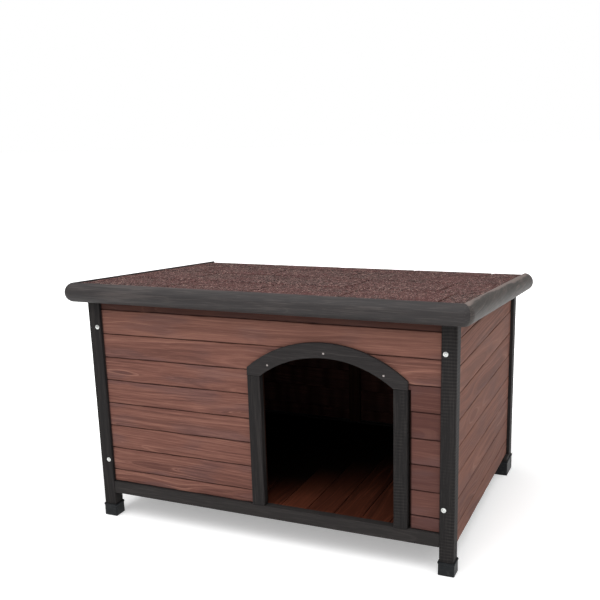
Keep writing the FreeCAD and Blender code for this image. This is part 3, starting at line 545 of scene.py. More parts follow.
def plank(piece, facing, outer, stations, low, high, sizes, seed, tongue=True, groove=True,
          sawn=None, tight=1.0, shaded=0.0, tone=None):
    """A wall board: the tongue-and-groove section carried along stations.

    Low and high are its edges at each station, so an edge may follow a curve. Where sawn is
    true the lower edge is cut square, without rounding or groove. Both edges stray by a
    smooth wave, and the outer face is a little uneven. The outer face lies at the place
    called outer, and the board's depth grows from there into the house. Tight scales the
    rounding and the painted shade along it; the back, tongue and groove get painted shade
    too, and shaded adds painted shade all over. The last 2 mm at each end are darkened: a
    painted shadow where the end meets the next part.
    """
    given = np.asarray(stations, float)
    stations = np.union1d(given, [given[0] + 4 * MM, given[-1] - 4 * MM])
    low = np.interp(stations, given, np.broadcast_to(low, given.shape))
    high = np.interp(stations, given, np.broadcast_to(high, given.shape))
    plain = 1 - np.interp(stations, given, np.zeros_like(given) if sawn is None else sawn)
    depth, into, share, lift, rise = plank_profile(tongue, groove)
    radius = sizes.plank_round * tight * (1 + 0.35 * waves(stations, seed, 0.23))
    stray_low = (0.5 + 0.5 * waves(stations, seed + 1, 0.4)) * sizes.plank_wander * plain
    stray_high = (0.5 + 0.5 * waves(stations, seed + 2, 0.5)) * sizes.plank_wander
    lower = share < 0.5
    easing = np.where(lower[None], plain[:, None], 1.0)
    z = (low + stray_low)[:, None] * (1 - share) + (high - stray_high)[:, None] * share
    z = z + lift * easing + rise * radius[:, None] * easing
    uneven = 0.3 * MM * (1 + waves(stations[:, None] + 7 * z, seed + 3, 0.17)) * (depth == 0)
    inward = depth + into * radius[:, None] * easing + uneven
    axis = "x" if facing in ("front", "rear") else "y"
    sign = 1 if facing in ("front", "left") else -1
    rings = on_axis(axis, stations[:, None], outer + sign * inward, z)
    # Painted shade: along the rounded edges, over the back, tongue and groove, all over by shaded
    # for the eave's shadow, and a painted shadow at each end
    painted_shade = np.where(depth < TONGUE_NEAR / 2, into * (0.5 + 0.5 * tight), 0.8)
    painted_shade = painted_shade[None] * (0.85 + 0.3 * waves(stations[:, None], seed + 4, 0.11)) + shaded
    near_end = np.minimum(stations - stations[0], stations[-1] - stations)[:, None]
    painted_shade = np.clip(painted_shade + 0.9 * (near_end < 2 * MM), 0, 1)
    piece.loft(rings, axis, seed, tone, seam=painted_shade)


def revolved(piece, centre, out, head, circles, around, cross=0.0, sink=0.0):
    """A turned form on an upright face, towards the front for out -1 or the rear for 1.

    It is made of circles, as the fasteners' tables give them, round an axis along Y. Where a
    point of its upper part lies in the arms of a cross it is sunk, which gives the recess.
    """
    angle = np.linspace(0, 2 * np.pi, around, endpoint=False)
    share, more, heights = np.array(circles).T[:, :, None]
    radii, heights = share * head + more * MM, heights * MM
    a, b = radii * np.cos(angle), radii * np.sin(angle)
    arms = ((np.abs(a) < cross * 0.28) | (np.abs(b) < cross * 0.28)) & (radii < cross)
    upper = heights > np.max(heights) * 0.6
    along = heights - sink * (arms & upper)
    x, y, z = centre
    piece.loft(np.stack([x + out * b, y + out * along, z + a], axis=-1), "x", 5, tone=0.5)


def box(node):
    """The lowest and the highest corner of a node, in metres."""
    low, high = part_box(node)
    return np.array(low), np.array(high)


def repaint(node, material):
    """Gives a carried-over CAD node another material; its mesh stays as it is."""
    NODES[node].data.materials.clear()
    NODES[node].data.materials.append(material)


# ---- places worked out from the frame ----------------------------------------------

LEG_LOW, LEG_HIGH = box("left_front_leg")
LEG = LEG_HIGH[0] - LEG_LOW[0]
FRONT, REAR = LEG_LOW[1], box("right_rear_leg")[1][1]
HALF = -LEG_LOW[0]
CENTRE_Y = (FRONT + REAR) / 2
DOOR_LOW, DOOR_HIGH = box("left_jamb")[1][0], box("right_jamb")[0][0]
DOOR_X = (DOOR_LOW + DOOR_HIGH) / 2
JAMB_START = box("left_jamb")[0][0]
JAMB = DOOR_LOW - JAMB_START
SPRING = box("left_jamb")[1][2]
ARCH_LOW, ARCH_HIGH = box("door_arch")
# Height of the centre of the arch's two circles, their radii, and that of the sawn planks
ARCH_CENTRE = 248 * MM
ARCH_INNER, ARCH_OUTER = 293 * MM, 333 * MM
SAWN_RADIUS = ARCH_INNER + 2 * MM
# The plane in which the walls end and the roof lies falls by 64 mm over 770 mm
WALL_PLANE_MIDDLE = 658 * MM
SLOPE = math.atan(64 / 770)
ROOF = Matrix.Translation((0, CENTRE_Y, WALL_PLANE_MIDDLE)) @ Matrix.Rotation(-SLOPE, 4, "X")
ROOF_TURN = np.array(ROOF.to_3x3())
ROOF_PLACE = np.array(ROOF.translation)


def on_roof(points):
    """Flat roof coordinates laid onto the wall plane."""
    return points @ ROOF_TURN.T + ROOF_PLACE


def wall_top(y):
    """Height at which the roof's underside meets the walls."""
    return WALL_PLANE_MIDDLE - (np.asarray(y) - CENTRE_Y) * math.tan(SLOPE)


def arch_height(x, radius):
    """Height of the arch's circle above a place along the front."""
    return ARCH_CENTRE + np.sqrt(np.maximum(radius ** 2 - (np.asarray(x) - DOOR_X) ** 2, 0))


def arch_reach(height):
    """How far from the doorway's middle the sawn edge stands at a height."""
    return math.sqrt(SAWN_RADIUS ** 2 - (height - ARCH_CENTRE) ** 2)


# ---- operators ---------------------------------------------------------------------

class DOGHOUSE_OT_front_wall(bpy.types.Operator):
    """Front planks: plain ones beside the doorway, and those the arch is cut out of"""
    bl_idname = "doghouse.front_wall"
    bl_label = "Front wall"

    # Of each seam, from the lowest up: how far it sags at the left end, in mm
    SAG = (0.5, 1, 1.5, 1.5, 1.5, 2.6, 2.6, 0.8)
    # Of each row, from the lowest up: 0 is darker, 1 paler; the lower rows are mostly darker
    TONES = (0.36, 0.4, 0.56, 0.68, 0.44, 0.62, 0.7, 0.92, 0.9)
    EAVE_SHADE = 0.7
    JAMB_LAP, SHORT_GAP, ARC_ROOM, JUST_PAST = 4 * MM, 6 * MM, 1 * MM, 0.01 * MM

    def sunk(self, seam, x):
        """How far a seam, counted from the lowest one, sags at x, left of the middle only."""
        return self.SAG[seam - 1] * MM * np.clip(-np.asarray(x) / HALF, 0, 1)

    def cut(self, x, sawn, over_door, bottom):
        """A lower edge, sawn along the jamb's top or, over the doorway, along the arch."""
        arc = np.maximum(SPRING, arch_height(x, SAWN_RADIUS) * over_door)
        return np.where(sawn, arc, bottom)

    def left_planks(self, paint, sizes):
        """Five whole planks, and a sixth whose end is sawn along the jamb and the arch."""
        for row in range(1, 7):
            node = "front_board_left_%d" % row
            low, high = box(node)
            top = high[2] - TONGUE_TALL
            if row < 6:
                x, sawn = np.linspace(low[0], high[0], 40), None
            else:
                reach = DOOR_X - arch_reach(top)
                past = np.linspace(JAMB_START + self.JUST_PAST, reach - self.ARC_ROOM, 16)
                x = np.concatenate([np.linspace(low[0], JAMB_START, 36), past])
                sawn = x > JAMB_START
            bottom = low[2] - (self.sunk(row - 1, x) if row > 1 else 0)
            if sawn is not None:
                bottom = self.cut(x, sawn, x > DOOR_LOW - self.JAMB_LAP, bottom)
            piece = Piece("front_plank_left_%d" % row)
            plank(piece, "front", low[1], x, bottom, top - self.sunk(row, x), sizes, 10 + row,
                  groove=row > 1, sawn=sawn, tone=self.TONES[row - 1])
            piece.build(paint, "house", "wall_boards", node)

    def short_planks(self, paint, sizes):
        """Six short planks right of the doorway; the arch is sawn out of the highest."""
        piece = Piece("front_planks_right")
        low, high = box("front_boards_right")
        base = box("front_board_left_2")[0][2]
        pitch = box("front_board_left_3")[0][2] - base
        width = box("right_front_leg")[0][0] - DOOR_HIGH - JAMB - self.SHORT_GAP
        start = high[0] - width
        for row in range(6):
            bottom = low[2] if row == 0 else base + pitch * (row - 1)
            top = base + pitch * row - GROOVE_ROOM
            x, sawn = np.linspace(start, high[0], 14), None
            if row == 5:
                reach = DOOR_X + arch_reach(top)
                past = np.linspace(reach + self.ARC_ROOM, start - self.JUST_PAST, 16)
                x = np.concatenate([past, x])
                sawn = x < start
                bottom = self.cut(x, sawn, x < DOOR_HIGH + self.JAMB_LAP, bottom)
            plank(piece, "front", low[1], x, bottom, top, sizes, 30 + row, groove=row > 0,
                  sawn=sawn)
        piece.build(paint, "house", "wall_boards", "front_boards_right")

    def upper_planks(self, paint, sizes):
        """The three long planks over the doorway, the highest in the shade of the roof."""
        for row, name in enumerate(("over_door", "upper", "top")):
            low, high = box("front_board_" + name)
            x = np.linspace(low[0], high[0], 120)
            bottom, sawn = low[2] - self.sunk(6 + row, x), None
            if row == 0:
                arc = arch_height(x, SAWN_RADIUS)
                sawn = arc > low[2]
                bottom = np.where(sawn, arc, bottom)
            top = high[2] - (TONGUE_TALL + self.sunk(7 + row, x) if row < 2 else 0)
            piece = Piece("front_plank_" + name)
            plank(piece, "front", low[1], x, bottom, top, sizes, 50 + row, tongue=row < 2,
                  sawn=sawn, shaded=self.EAVE_SHADE if row == 2 else 0.0,
                  tone=self.TONES[6 + row])
            piece.build(paint, "house", "wall_boards", "front_board_" + name)

    def execute(self, context):
        colours, sizes = settings(context)
        paint = wood("plank_stain", colours.plank, colours.plank_light, colours.plank_dark,
                     colours.plank_cool, colours.seam, streak=0.85)
        short = wood("short_plank_stain", colours.short_plank, colours.short_light,
                     colours.plank_dark, colours.plank_cool, colours.seam, streak=0.65)
        self.left_planks(paint, sizes)
        self.short_planks(short, sizes)
        self.upper_planks(paint, sizes)
        return {"FINISHED"}


class DOGHOUSE_OT_other_walls(bpy.types.Operator):
    """Planks of the side and rear walls, trimmed to the slope of the roof"""
    bl_idname = "doghouse.other_walls"
    bl_label = "Side and rear walls"

    # Height of the lowest seam, and the rows' pitch
    SIDE_SEAM, SIDE_PITCH = 110 * MM, 70 * MM
    REAR_SEAM, REAR_PITCH = 148.3 * MM, 68.5 * MM
    THINNEST, EAVE_ROOM = 6 * MM, 0.5 * MM

    def side_wall(self, side, seed, paint, sizes):
        """Ten rows; the upper ones stop where the slope would leave them too thin."""
        node = side + "_wall_boards"
        low, high = box(node)
        piece = Piece(side + "_wall_planks")
        seams = [self.SIDE_SEAM + self.SIDE_PITCH * i for i in range(9)]
        seams = [low[2], *seams, high[2] + 1]
        for row in range(10):
            y = np.linspace(low[1], high[1], 60)
            limit = wall_top(y) - self.EAVE_ROOM
            keep = limit > seams[row] + self.THINNEST
            y, limit = y[keep], limit[keep]
            top = np.minimum(seams[row + 1] - GROOVE_ROOM, limit)
            plank(piece, side, low[0] if side == "left" else high[0], y, seams[row], top, sizes,
                  seed + row, tongue=bool(np.all(top < limit - TONGUE_TALL)), groove=row > 0,
                  tight=0.55)
        piece.build(paint, "house", "wall_boards", node)

    def rear_wall(self, paint, sizes):
        low, high = box("rear_wall_boards")
        piece = Piece("rear_wall_planks")
        x = np.linspace(low[0], high[0], 90)
        for row in range(8):
            seam = self.REAR_SEAM + self.REAR_PITCH * row
            bottom = low[2] if row == 0 else self.REAR_SEAM + self.REAR_PITCH * (row - 1)
            top = seam - GROOVE_ROOM if row < 7 else high[2] - self.EAVE_ROOM
            plank(piece, "rear", high[1], x, bottom, top, sizes, 110 + row, tongue=row < 7,
                  groove=row > 0)
        piece.build(paint, "house", "wall_boards", "rear_wall_boards")

    def execute(self, context):
        colours, sizes = settings(context)
        pale = wood("side_plank_stain", colours.side_plank, colours.side_light,
                    colours.side_dark, colours.side_cool, colours.side_seam_shade, streak=0.9)
        self.side_wall("left", 70, pale, sizes)
        self.side_wall("right", 90, pale, sizes)
        self.rear_wall(bpy.data.materials["plank_stain"], sizes)
        return {"FINISHED"}


class DOGHOUSE_OT_timber_frame(bpy.types.Operator):
    """Legs, rails, jambs and blocks with eased edges, some with a planer's ribs"""
    bl_idname = "doghouse.timber_frame"
    bl_label = "Frame"

    # Nodes by the axis that their grain follows
    BARS = (("z", ("left_front_leg", "left_rear_leg", "right_front_leg", "right_rear_leg",
                   "left_jamb", "right_jamb")),
            ("x", ("front_bottom_rail", "rear_bottom_rail")),
            ("y", ("left_side_rail", "right_side_rail")),
            ("z", ("left_rear_foot_block", "right_rear_foot_block")))
    RIBBED = ("right_front_leg", "right_jamb", "left_rear_leg")

    def execute(self, context):
        colours, sizes = settings(context)
        ribbed = wood("frame_sawn", colours.frame, colours.frame_wear_and_highlight, colours.frame_ribs,
                      streak=0.2, wear=0.15, ribs=0.35, specular=0.1, knots=False)
        plain = wood("frame_stain", colours.frame, colours.frame_wear_and_highlight, colours.frame_dark,
                     streak=0.4, wear=0.35, specular=0.1, knots=False)
        bars = [(axis, node) for axis, nodes in self.BARS for node in nodes]
        for number, (axis, node) in enumerate(bars):
            low, high = box(node)
            piece = Piece(node + "_timber")
            timber(piece, low, high, axis, sizes.timber_round, 200 + number)
            piece.build(ribbed if node in self.RIBBED else plain, "house", "dark_frame", node)
        return {"FINISHED"}


class DOGHOUSE_OT_door_arch(bpy.types.Operator):
    """The arched head of the doorway, one curved piece with eased edges"""
    bl_idname = "doghouse.door_arch"
    bl_label = "Door arch"

    SHORT_OF_CORNER = 0.001

    def execute(self, context):
        """Sections stand on radii. The inner end of each is on the inner circle or the spring
        line, and the outer end on the outer circle or the arch's upright end, whichever the
        radius meets first. The section at the crown is scaled to the space between them."""
        colours, sizes = settings(context)
        paint = wood("arch_stain", colours.arch, colours.arch_worn, colours.arch_dark,
                     streak=0.5, wear=0.4, specular=0.1, knots=False)
        half, depth = (ARCH_HIGH[:2] - ARCH_LOW[:2]) / 2
        rise = ARCH_LOW[2] - ARCH_CENTRE
        last = math.atan2(half, rise) - self.SHORT_OF_CORNER
        kinks = np.array([math.asin(half / ARCH_OUTER), math.acos(rise / ARCH_INNER)])
        turn = np.unique(np.concatenate([np.linspace(-last, last, 90), kinks, -kinks]))
        inner = np.maximum(ARCH_INNER, rise / np.cos(turn))
        outer = np.minimum(ARCH_OUTER, half / np.maximum(np.abs(np.sin(turn)), 1e-6))
        crown = (ARCH_OUTER - ARCH_INNER) / 2
        a, b = rounded_profile(crown, depth, sizes.arch_round)
        scale = (outer - inner) / 2 / crown
        radii = ((inner + outer) / 2)[:, None] + a * scale[:, None]
        x = DOOR_X + radii * np.sin(turn)[:, None]
        y = (ARCH_LOW[1] + ARCH_HIGH[1]) / 2 + b
        z = ARCH_CENTRE + radii * np.cos(turn)[:, None]
        piece = Piece("door_arch_board")
        piece.loft(np.stack(np.broadcast_arrays(x, y, z), axis=-1), "x", 300)
        piece.build(paint, "house", "dark_frame", "door_arch")
        return {"FINISHED"}


class DOGHOUSE_OT_inner_timber(bpy.types.Operator):
    """Battens, stiles and bearers inside, and the slatted floor"""
    bl_idname = "doghouse.inner_timber"
    bl_label = "Inner timber and floor"

    BATTEN_WIDTH, BAR_ROUND, STILE_ROOM = 36 * MM, 1.5 * MM, 4 * MM
    FLOOR_BOARDS, FLOOR_GAP, FLOOR_ROUND, STILE_CLEARANCE = 13, 1.5 * MM, 1.6 * MM, 12 * MM

    def bars(self, name, node, axis, seed, corners, paint):
        """One piece of several bars, each from its lowest to its highest corner."""
        piece = Piece(name)
        for number, (low, high) in enumerate(corners):
            timber(piece, low, high, axis, self.BAR_ROUND, seed + number, 12)
        piece.build(paint, "house", "inner_timber", node)

    def floor(self, colours):
        """Boards from front to rear. The outermost start behind the corner stiles. Painted shade
        darkens them towards the rear, for the dark inside of the house; it starts further in on
        the boards right of the middle, which more light reaches."""
        paint = wood("floor_stain", colours.floor, colours.floor_light, colours.floor_dark,
                     seam=colours.floor_painted_shade, streak=0.8)
        piece = Piece("floor_planks")
        low, high = box("floor_boards")
        pitch = (high[0] - low[0] + self.FLOOR_GAP) / self.FLOOR_BOARDS
        for number in range(self.FLOOR_BOARDS):
            x = low[0] + number * pitch
            outermost = number in (0, self.FLOOR_BOARDS - 1)
            start = low[1] + (self.STILE_CLEARANCE if outermost else 0)
            timber(piece, (x, start, low[2]), (x + pitch - self.FLOOR_GAP, high[1], high[2]),
                   "y", self.FLOOR_ROUND, 360 + number, 40,
                   painted_shade=np.interp(x, (-0.05, 0.35), (0, 1)))
        piece.build(paint, "house", "floor_timber", "floor_boards")

    def execute(self, context):
        colours, sizes = settings(context)
        paint = wood("inner_stain", colours.inside, colours.inside_light, colours.inside_dark,
                     streak=0.7, knots=False)
        low, high = box("corner_stiles")
        corners = []
        for y in (low[1], high[1] - LEG):
            top = float(wall_top(y + LEG)) - self.STILE_ROOM
            corners += [((x, y, low[2]), (x + LEG, y + LEG, top))
                        for x in (low[0], high[0] - LEG)]
        self.bars("corner_stile_timber", "corner_stiles", "z", 320, corners, paint)
        low, high = box("door_battens")
        corners = [((x, low[1], low[2]), (x + self.BATTEN_WIDTH, high[1], high[2]))
                   for x in (low[0], high[0] - self.BATTEN_WIDTH)]
        self.bars("door_batten_timber", "door_battens", "z", 330, corners, paint)
        low, high = box("floor_bearers")
        corners = [((low[0], y, low[2]), (high[0], y + LEG, high[2]))
                   for y in (low[1], (low[1] + high[1] - LEG) / 2, high[1] - LEG)]
        self.bars("floor_bearer_timber", "floor_bearers", "x", 340, corners, paint)
        self.bars("rear_centre_batten_timber", "rear_centre_batten", "z", 351,
                  [box("rear_centre_batten")], paint)
        self.floor(colours)
        repaint("rear_top_rail", wood("rail_stain", colours.inside, colours.inside_light,
                                      colours.inside_dark, streak=0.7, knots=False,
                                      carried_over=True))
        return {"FINISHED"}


class DOGHOUSE_OT_foot_caps(bpy.types.Operator):
    """Moulded plastic shoes: a rounded square shell with a rolled rim"""
    bl_idname = "doghouse.foot_caps"
    bl_label = "Foot caps"

    # Sections up the outside, over the rim and down the inside: height as a share of the
    # cap's, plus mm, and how far the wall is set in from the node's box, in mm
    SECTIONS = np.array((
        (0, 0, 0.9), (0, 0.5, -0.2), (0, 1.6, -0.7), (0.3, 0, -0.4), (0.7, 0, -0.3),
        (1, -6.2, -0.3), (1, -5.0, -1.6), (1, -1.6, -1.8), (1, -0.3, -1.2), (1, 0, 0.2),
        (1, -0.4, 1.6), (0, 4, 1.6), (0, 3, 1.6)))

    def execute(self, context):
        """A rounded rectangle is carried along the sections, and closed at the cap's floor."""
        colours, sizes = settings(context)
        paint = moulded_plastic("cap_plastic", colours.cap, colours.dust)
        share, above, inset = self.SECTIONS.T
        for node in ("left_front_foot_cap", "left_rear_foot_cap", "right_front_foot_cap",
                     "right_rear_foot_cap"):
            low, high = box(node)
            middle, half = (low + high) / 2, (high - low) / 2
            rings = []
            for z, shrink in zip(high[2] * share + above * MM, inset * MM):
                a, b = rounded_profile(half[0] - shrink, half[1] - shrink,
                                       max(sizes.cap_round - shrink, 0.6 * MM), steps=6)
                rings.append(on_axis("x", middle[0] + a, middle[1] + b, z))
            piece = Piece(node + "_shell")
            piece.loft(np.array(rings), "z", 400)
            piece.build(paint, "house", "cap_plastic", node, smooth=40)
        return {"FINISHED"}


class DOGHOUSE_OT_fasteners(bpy.types.Operator):
    """Washer-head screws in the legs and nails in the arch"""
    bl_idname = "doghouse.fasteners"
    bl_label = "Screws and nails"

    # Circles from the shank's end to the top of the head: radius as a share of the head's,
    # plus mm, and height over the surface, in mm
    SCREW = ((0, 0.1, -20), (0, 2.5, -20), (0, 2.5, -0.2), (0.96, 0, -0.2), (1, 0, 0.5),
             (0.96, 0, 1.1), (0.68, 0, 1.4), (0.62, 0, 2.2), (0.55, 0, 2.8), (0.42, 0, 3.1),
             (0.38, 0, 3.15), (0.3, 0, 3.2), (0.15, 0, 3.2), (0, 0.1, 3.2))
    NAIL = ((0, 0.1, -8), (0, 1, -8), (0, 1, -0.1), (0.95, 0, -0.1), (1, 0, 0.3),
            (0.9, 0, 0.7), (0.5, 0, 0.9), (0, 0.1, 0.9))
    SCREW_X = HALF - 27 * MM
    # Of the front and the rear legs: face, outward side, screw heights in mm
    SCREW_FACES = ((FRONT, -1, (178, 577)), (REAR, 1, (178, 545)))
    NAIL_CIRCLE, NAIL_ANGLE = 306 * MM, math.radians(31)
    CARRIED_OVER = (*("hinge_%s_leaf_%d" % (kind, i) for kind in ("wall", "lid")
                      for i in (1, 2, 3)),
                    "hinge_pins", "hinge_wall_screws", "hinge_lid_screws", "left_stay_arm",
                    "right_stay_arm", "stay_wall_brackets", "stay_lid_brackets")

    def execute(self, context):
        colours, sizes = settings(context)
        plated = zinc("zinc_plate", colours.zinc, colours.zinc_dull)
        piece = Piece("leg_screw_heads")
        for y, out, heights in self.SCREW_FACES:
            for x in (-self.SCREW_X, self.SCREW_X):
                for z in heights:
                    revolved(piece, (x, y, z * MM), out, sizes.screw_head, self.SCREW, 48,
                             cross=0.4 * sizes.screw_head, sink=1.2 * MM)
        piece.build(plated, "house", "zinc_steel", "leg_screws")
        piece = Piece("arch_nail_heads")
        for turn in (-self.NAIL_ANGLE, 0, self.NAIL_ANGLE):
            centre = (DOOR_X + self.NAIL_CIRCLE * math.sin(turn), FRONT,
                      ARCH_CENTRE + self.NAIL_CIRCLE * math.cos(turn))
            revolved(piece, centre, -1, sizes.nail_head, self.NAIL, 20)
        piece.build(zinc("nail_steel", colours.nail, colours.zinc_dull), "house", "zinc_steel",
                    "arch_nails")
        for node in self.CARRIED_OVER:
            repaint(node, plated)
        return {"FINISHED"}


class DOGHOUSE_OT_roof_trim(bpy.types.Operator):
    """Half-round mouldings round the roof, mitred at the front corners"""
    bl_idname = "doghouse.roof_trim"
    bl_label = "Roof mouldings"

    # In the roof's own flat coordinates, a few hundredths of a mm inside the CAD's outline
    RADIUS, CROWN = 26.93 * MM, 14.96 * MM
    SIDE, NOSE, TAIL = 572.47 * MM, 439.96 * MM, 397 * MM

    def execute(self, context):
        """The section is a half circle with a flat back. At a mitred end it turns by up to 45
        degrees about the upright line through the middle of its back, so it sweeps a ball: a
        point that stands out from the back by r moves to r cos(turn) out and r sin(turn) on."""
        colours, sizes = settings(context)
        paint = wood("trim_stain", colours.trim, colours.trim_wear_and_highlight, colours.trim_dark,
                     streak=0.2, wear=0.3, relief=0.0005, rough=0.6, specular=0.25, knots=False)
        # A paler copy of the trim stain, painted light for the right moulding
        lit_trim = wood("trim_painted_lit", colours.lit_trim, colours.lit_trim_wear_and_highlight, colours.lit_trim_dark,
                     streak=0.4, wear=0.6, relief=0.0006, rough=0.6, specular=0.25, knots=False)
        angle = np.linspace(-np.pi / 2, np.pi / 2, 29)
        out = self.RADIUS * np.cos(angle)
        height = self.CROWN - self.RADIUS + self.RADIUS * np.sin(angle)
        # The crest of the half-round: wear, and a painted highlight on its top
        crest = np.clip((angle - 0.9) / 0.5, 0, 1)
        bend = np.linspace(0, np.pi / 4, 13)[1:]
        side_back, front_back = self.SIDE - self.RADIUS, self.NOSE - self.RADIUS
        for number, name in enumerate(("front", "left", "right")):
            across = name == "front"
            start, end = (-side_back, side_back) if across else (-front_back, self.TAIL)
            last = bend if across else bend[:0]
            turn = np.concatenate([-bend[::-1], np.zeros(110), last])[:, None]
            station = np.concatenate([np.full(len(bend), start), np.linspace(start, end, 110),
                                      np.full(len(last), end)])[:, None]
            along = station + out * np.sin(turn)
            seed = 420 + number
            dent = 0.5 * MM * (1 + waves(along + 0.8 * height, seed, 0.19)) * np.cos(angle)
            reach = np.maximum(out * np.cos(turn) - dent, 0)
            if across:
                flat = on_axis("x", along, -front_back - reach, height)
            else:
                sign = -1 if name == "left" else 1
                flat = on_axis("y", along, sign * (side_back + reach), height)
            piece = Piece(name + "_moulding")
            # The crest's wear and painted highlight, four times as strong on the right moulding
            piece.loft(on_roof(flat), "x" if across else "y", seed, tone=0.5,
                       wear=crest * (2 if name == "right" else 0.5))
            piece.build(lit_trim if name == "right" else paint, "lid", "roof_trim", name + "_trim")
        return {"FINISHED"}


class DOGHOUSE_OT_shingles(bpy.types.Operator):
    """Four courses of slotted shingle tabs over the plywood deck"""
    bl_idname = "doghouse.shingles"
    bl_label = "Shingles"

    HALF_WIDTH, FRONT_EDGE, REAR_EDGE = 545.5 * MM, -413 * MM, 388 * MM
    DECK, THICK = 9.05 * MM, 2 * MM
    EXPOSURE, LAP, RAMP = 225 * MM, 25 * MM, 15 * MM
    SLOT, SLOT_LONG = 4 * MM, 205 * MM
    # Places of the slots across the roof, in mm: the first of each course, and their pitch
    FIRST_SLOTS, SLOT_PITCH = (-525, -330, -425, -300), 250
    # Thickness worn off a course's front edge, and how far back that goes
    WORN, WORN_BACK = 1.75 * MM, 22 * MM
    CURL_BACK = 30 * MM

    def slab(self, piece, x, y, upper, lower, seed):
        """A sheet between two surfaces over the same places of the flat roof."""
        x, y, upper, lower = np.broadcast_arrays(x, y, upper, lower)
        upper_run = np.stack([x, y, upper], axis=-1)
        lower_run = np.stack([x, y, lower], axis=-1)[:, ::-1]
        piece.loft(on_roof(np.concatenate([upper_run, lower_run], axis=1)), "x", seed)

    def tab(self, piece, course, seed, left, right, start, end, curl):
        """One tab, lying over the course in front of it as far as the lap, and then ramping
        down to the deck. Its front edge curls up by a square law and is worn thin, its long
        edges stray by a smooth wave, and its front edge wanders."""
        y = np.concatenate([[start, start + 0.4 * MM],
                            np.linspace(start + 2 * MM, start + self.LAP, 6),
                            np.linspace(start + self.LAP + self.RAMP, end, 16)])[:, None]
        x = np.linspace(0, 1, 24)
        step = np.clip((start + self.LAP + self.RAMP - y) / self.RAMP, 0, 1)
        bottom = self.DECK + (self.THICK + 0.05 * MM if course else 0) * step
        curl = curl * np.clip(1 - (y - start) / self.CURL_BACK, 0, 1) ** 2
        worn = self.WORN * np.clip(1 - (y - start) / self.WORN_BACK, 0, 1) if course else 0
        stray = 0.5 * MM * waves(y, seed, 0.12)
        row = (left + 0.4 * MM + stray) * (1 - x) + (right - 0.4 * MM + stray) * x
        lift = curl * (1 + 0.5 * waves(row, seed, 0.2))
        grain = 0.25 * MM * waves(row * 1.3 + y, seed + 1, 0.05)
        easing = np.where((x == 0) | (x == 1), 0.4 * MM, 0) + worn
        wander = 0.8 * MM * waves(row, seed + 2, 0.09) * (y == start)
        self.slab(piece, row, y + wander, bottom + self.THICK + lift + grain - easing,
                  bottom + lift * 0.9, seed)

    def execute(self, context):
        colours, sizes = settings(context)
        paint = granules("shingle_granules", colours.granule_red, colours.granule_dark,
                         colours.granule_pale)
        edge = self.HALF_WIDTH - 0.3 * MM
        for course, first in enumerate(self.FIRST_SLOTS):
            start = self.FRONT_EDGE + course * self.EXPOSURE
            end = self.REAR_EDGE if course == 3 else start + self.EXPOSURE + self.LAP
            slots = [m * MM for m in range(first, 545, self.SLOT_PITCH)]
            lefts = [-edge] + [m + self.SLOT / 2 for m in slots]
            rights = [m - self.SLOT / 2 for m in slots] + [edge]
            piece = Piece("shingle_tabs_%d" % (course + 1))
            for number, (left, right) in enumerate(zip(lefts, rights)):
                self.tab(piece, course, 440 + 10 * course + number, left, right, start,
                         min(end, start + self.SLOT_LONG), sizes.shingle_curl)
            if end > start + self.SLOT_LONG:
                y = np.linspace(start + self.SLOT_LONG - 0.3 * MM, end, 6)[:, None]
                x = np.linspace(-edge, edge, 60)
                grain = 0.2 * MM * waves(x + y, course, 0.05)
                self.slab(piece, x, y, self.DECK + self.THICK + grain, self.DECK, 480 + course)
            piece.build(paint, "lid", "shingle", "shingle_course_%d" % (course + 1), smooth=45)
        repaint("roof_deck", wood("deck_plywood", colours.ply, colours.ply_light,
                                  colours.ply_dark, streak=0.9, relief=0.0002,
                                  carried_over=True))
        return {"FINISHED"}


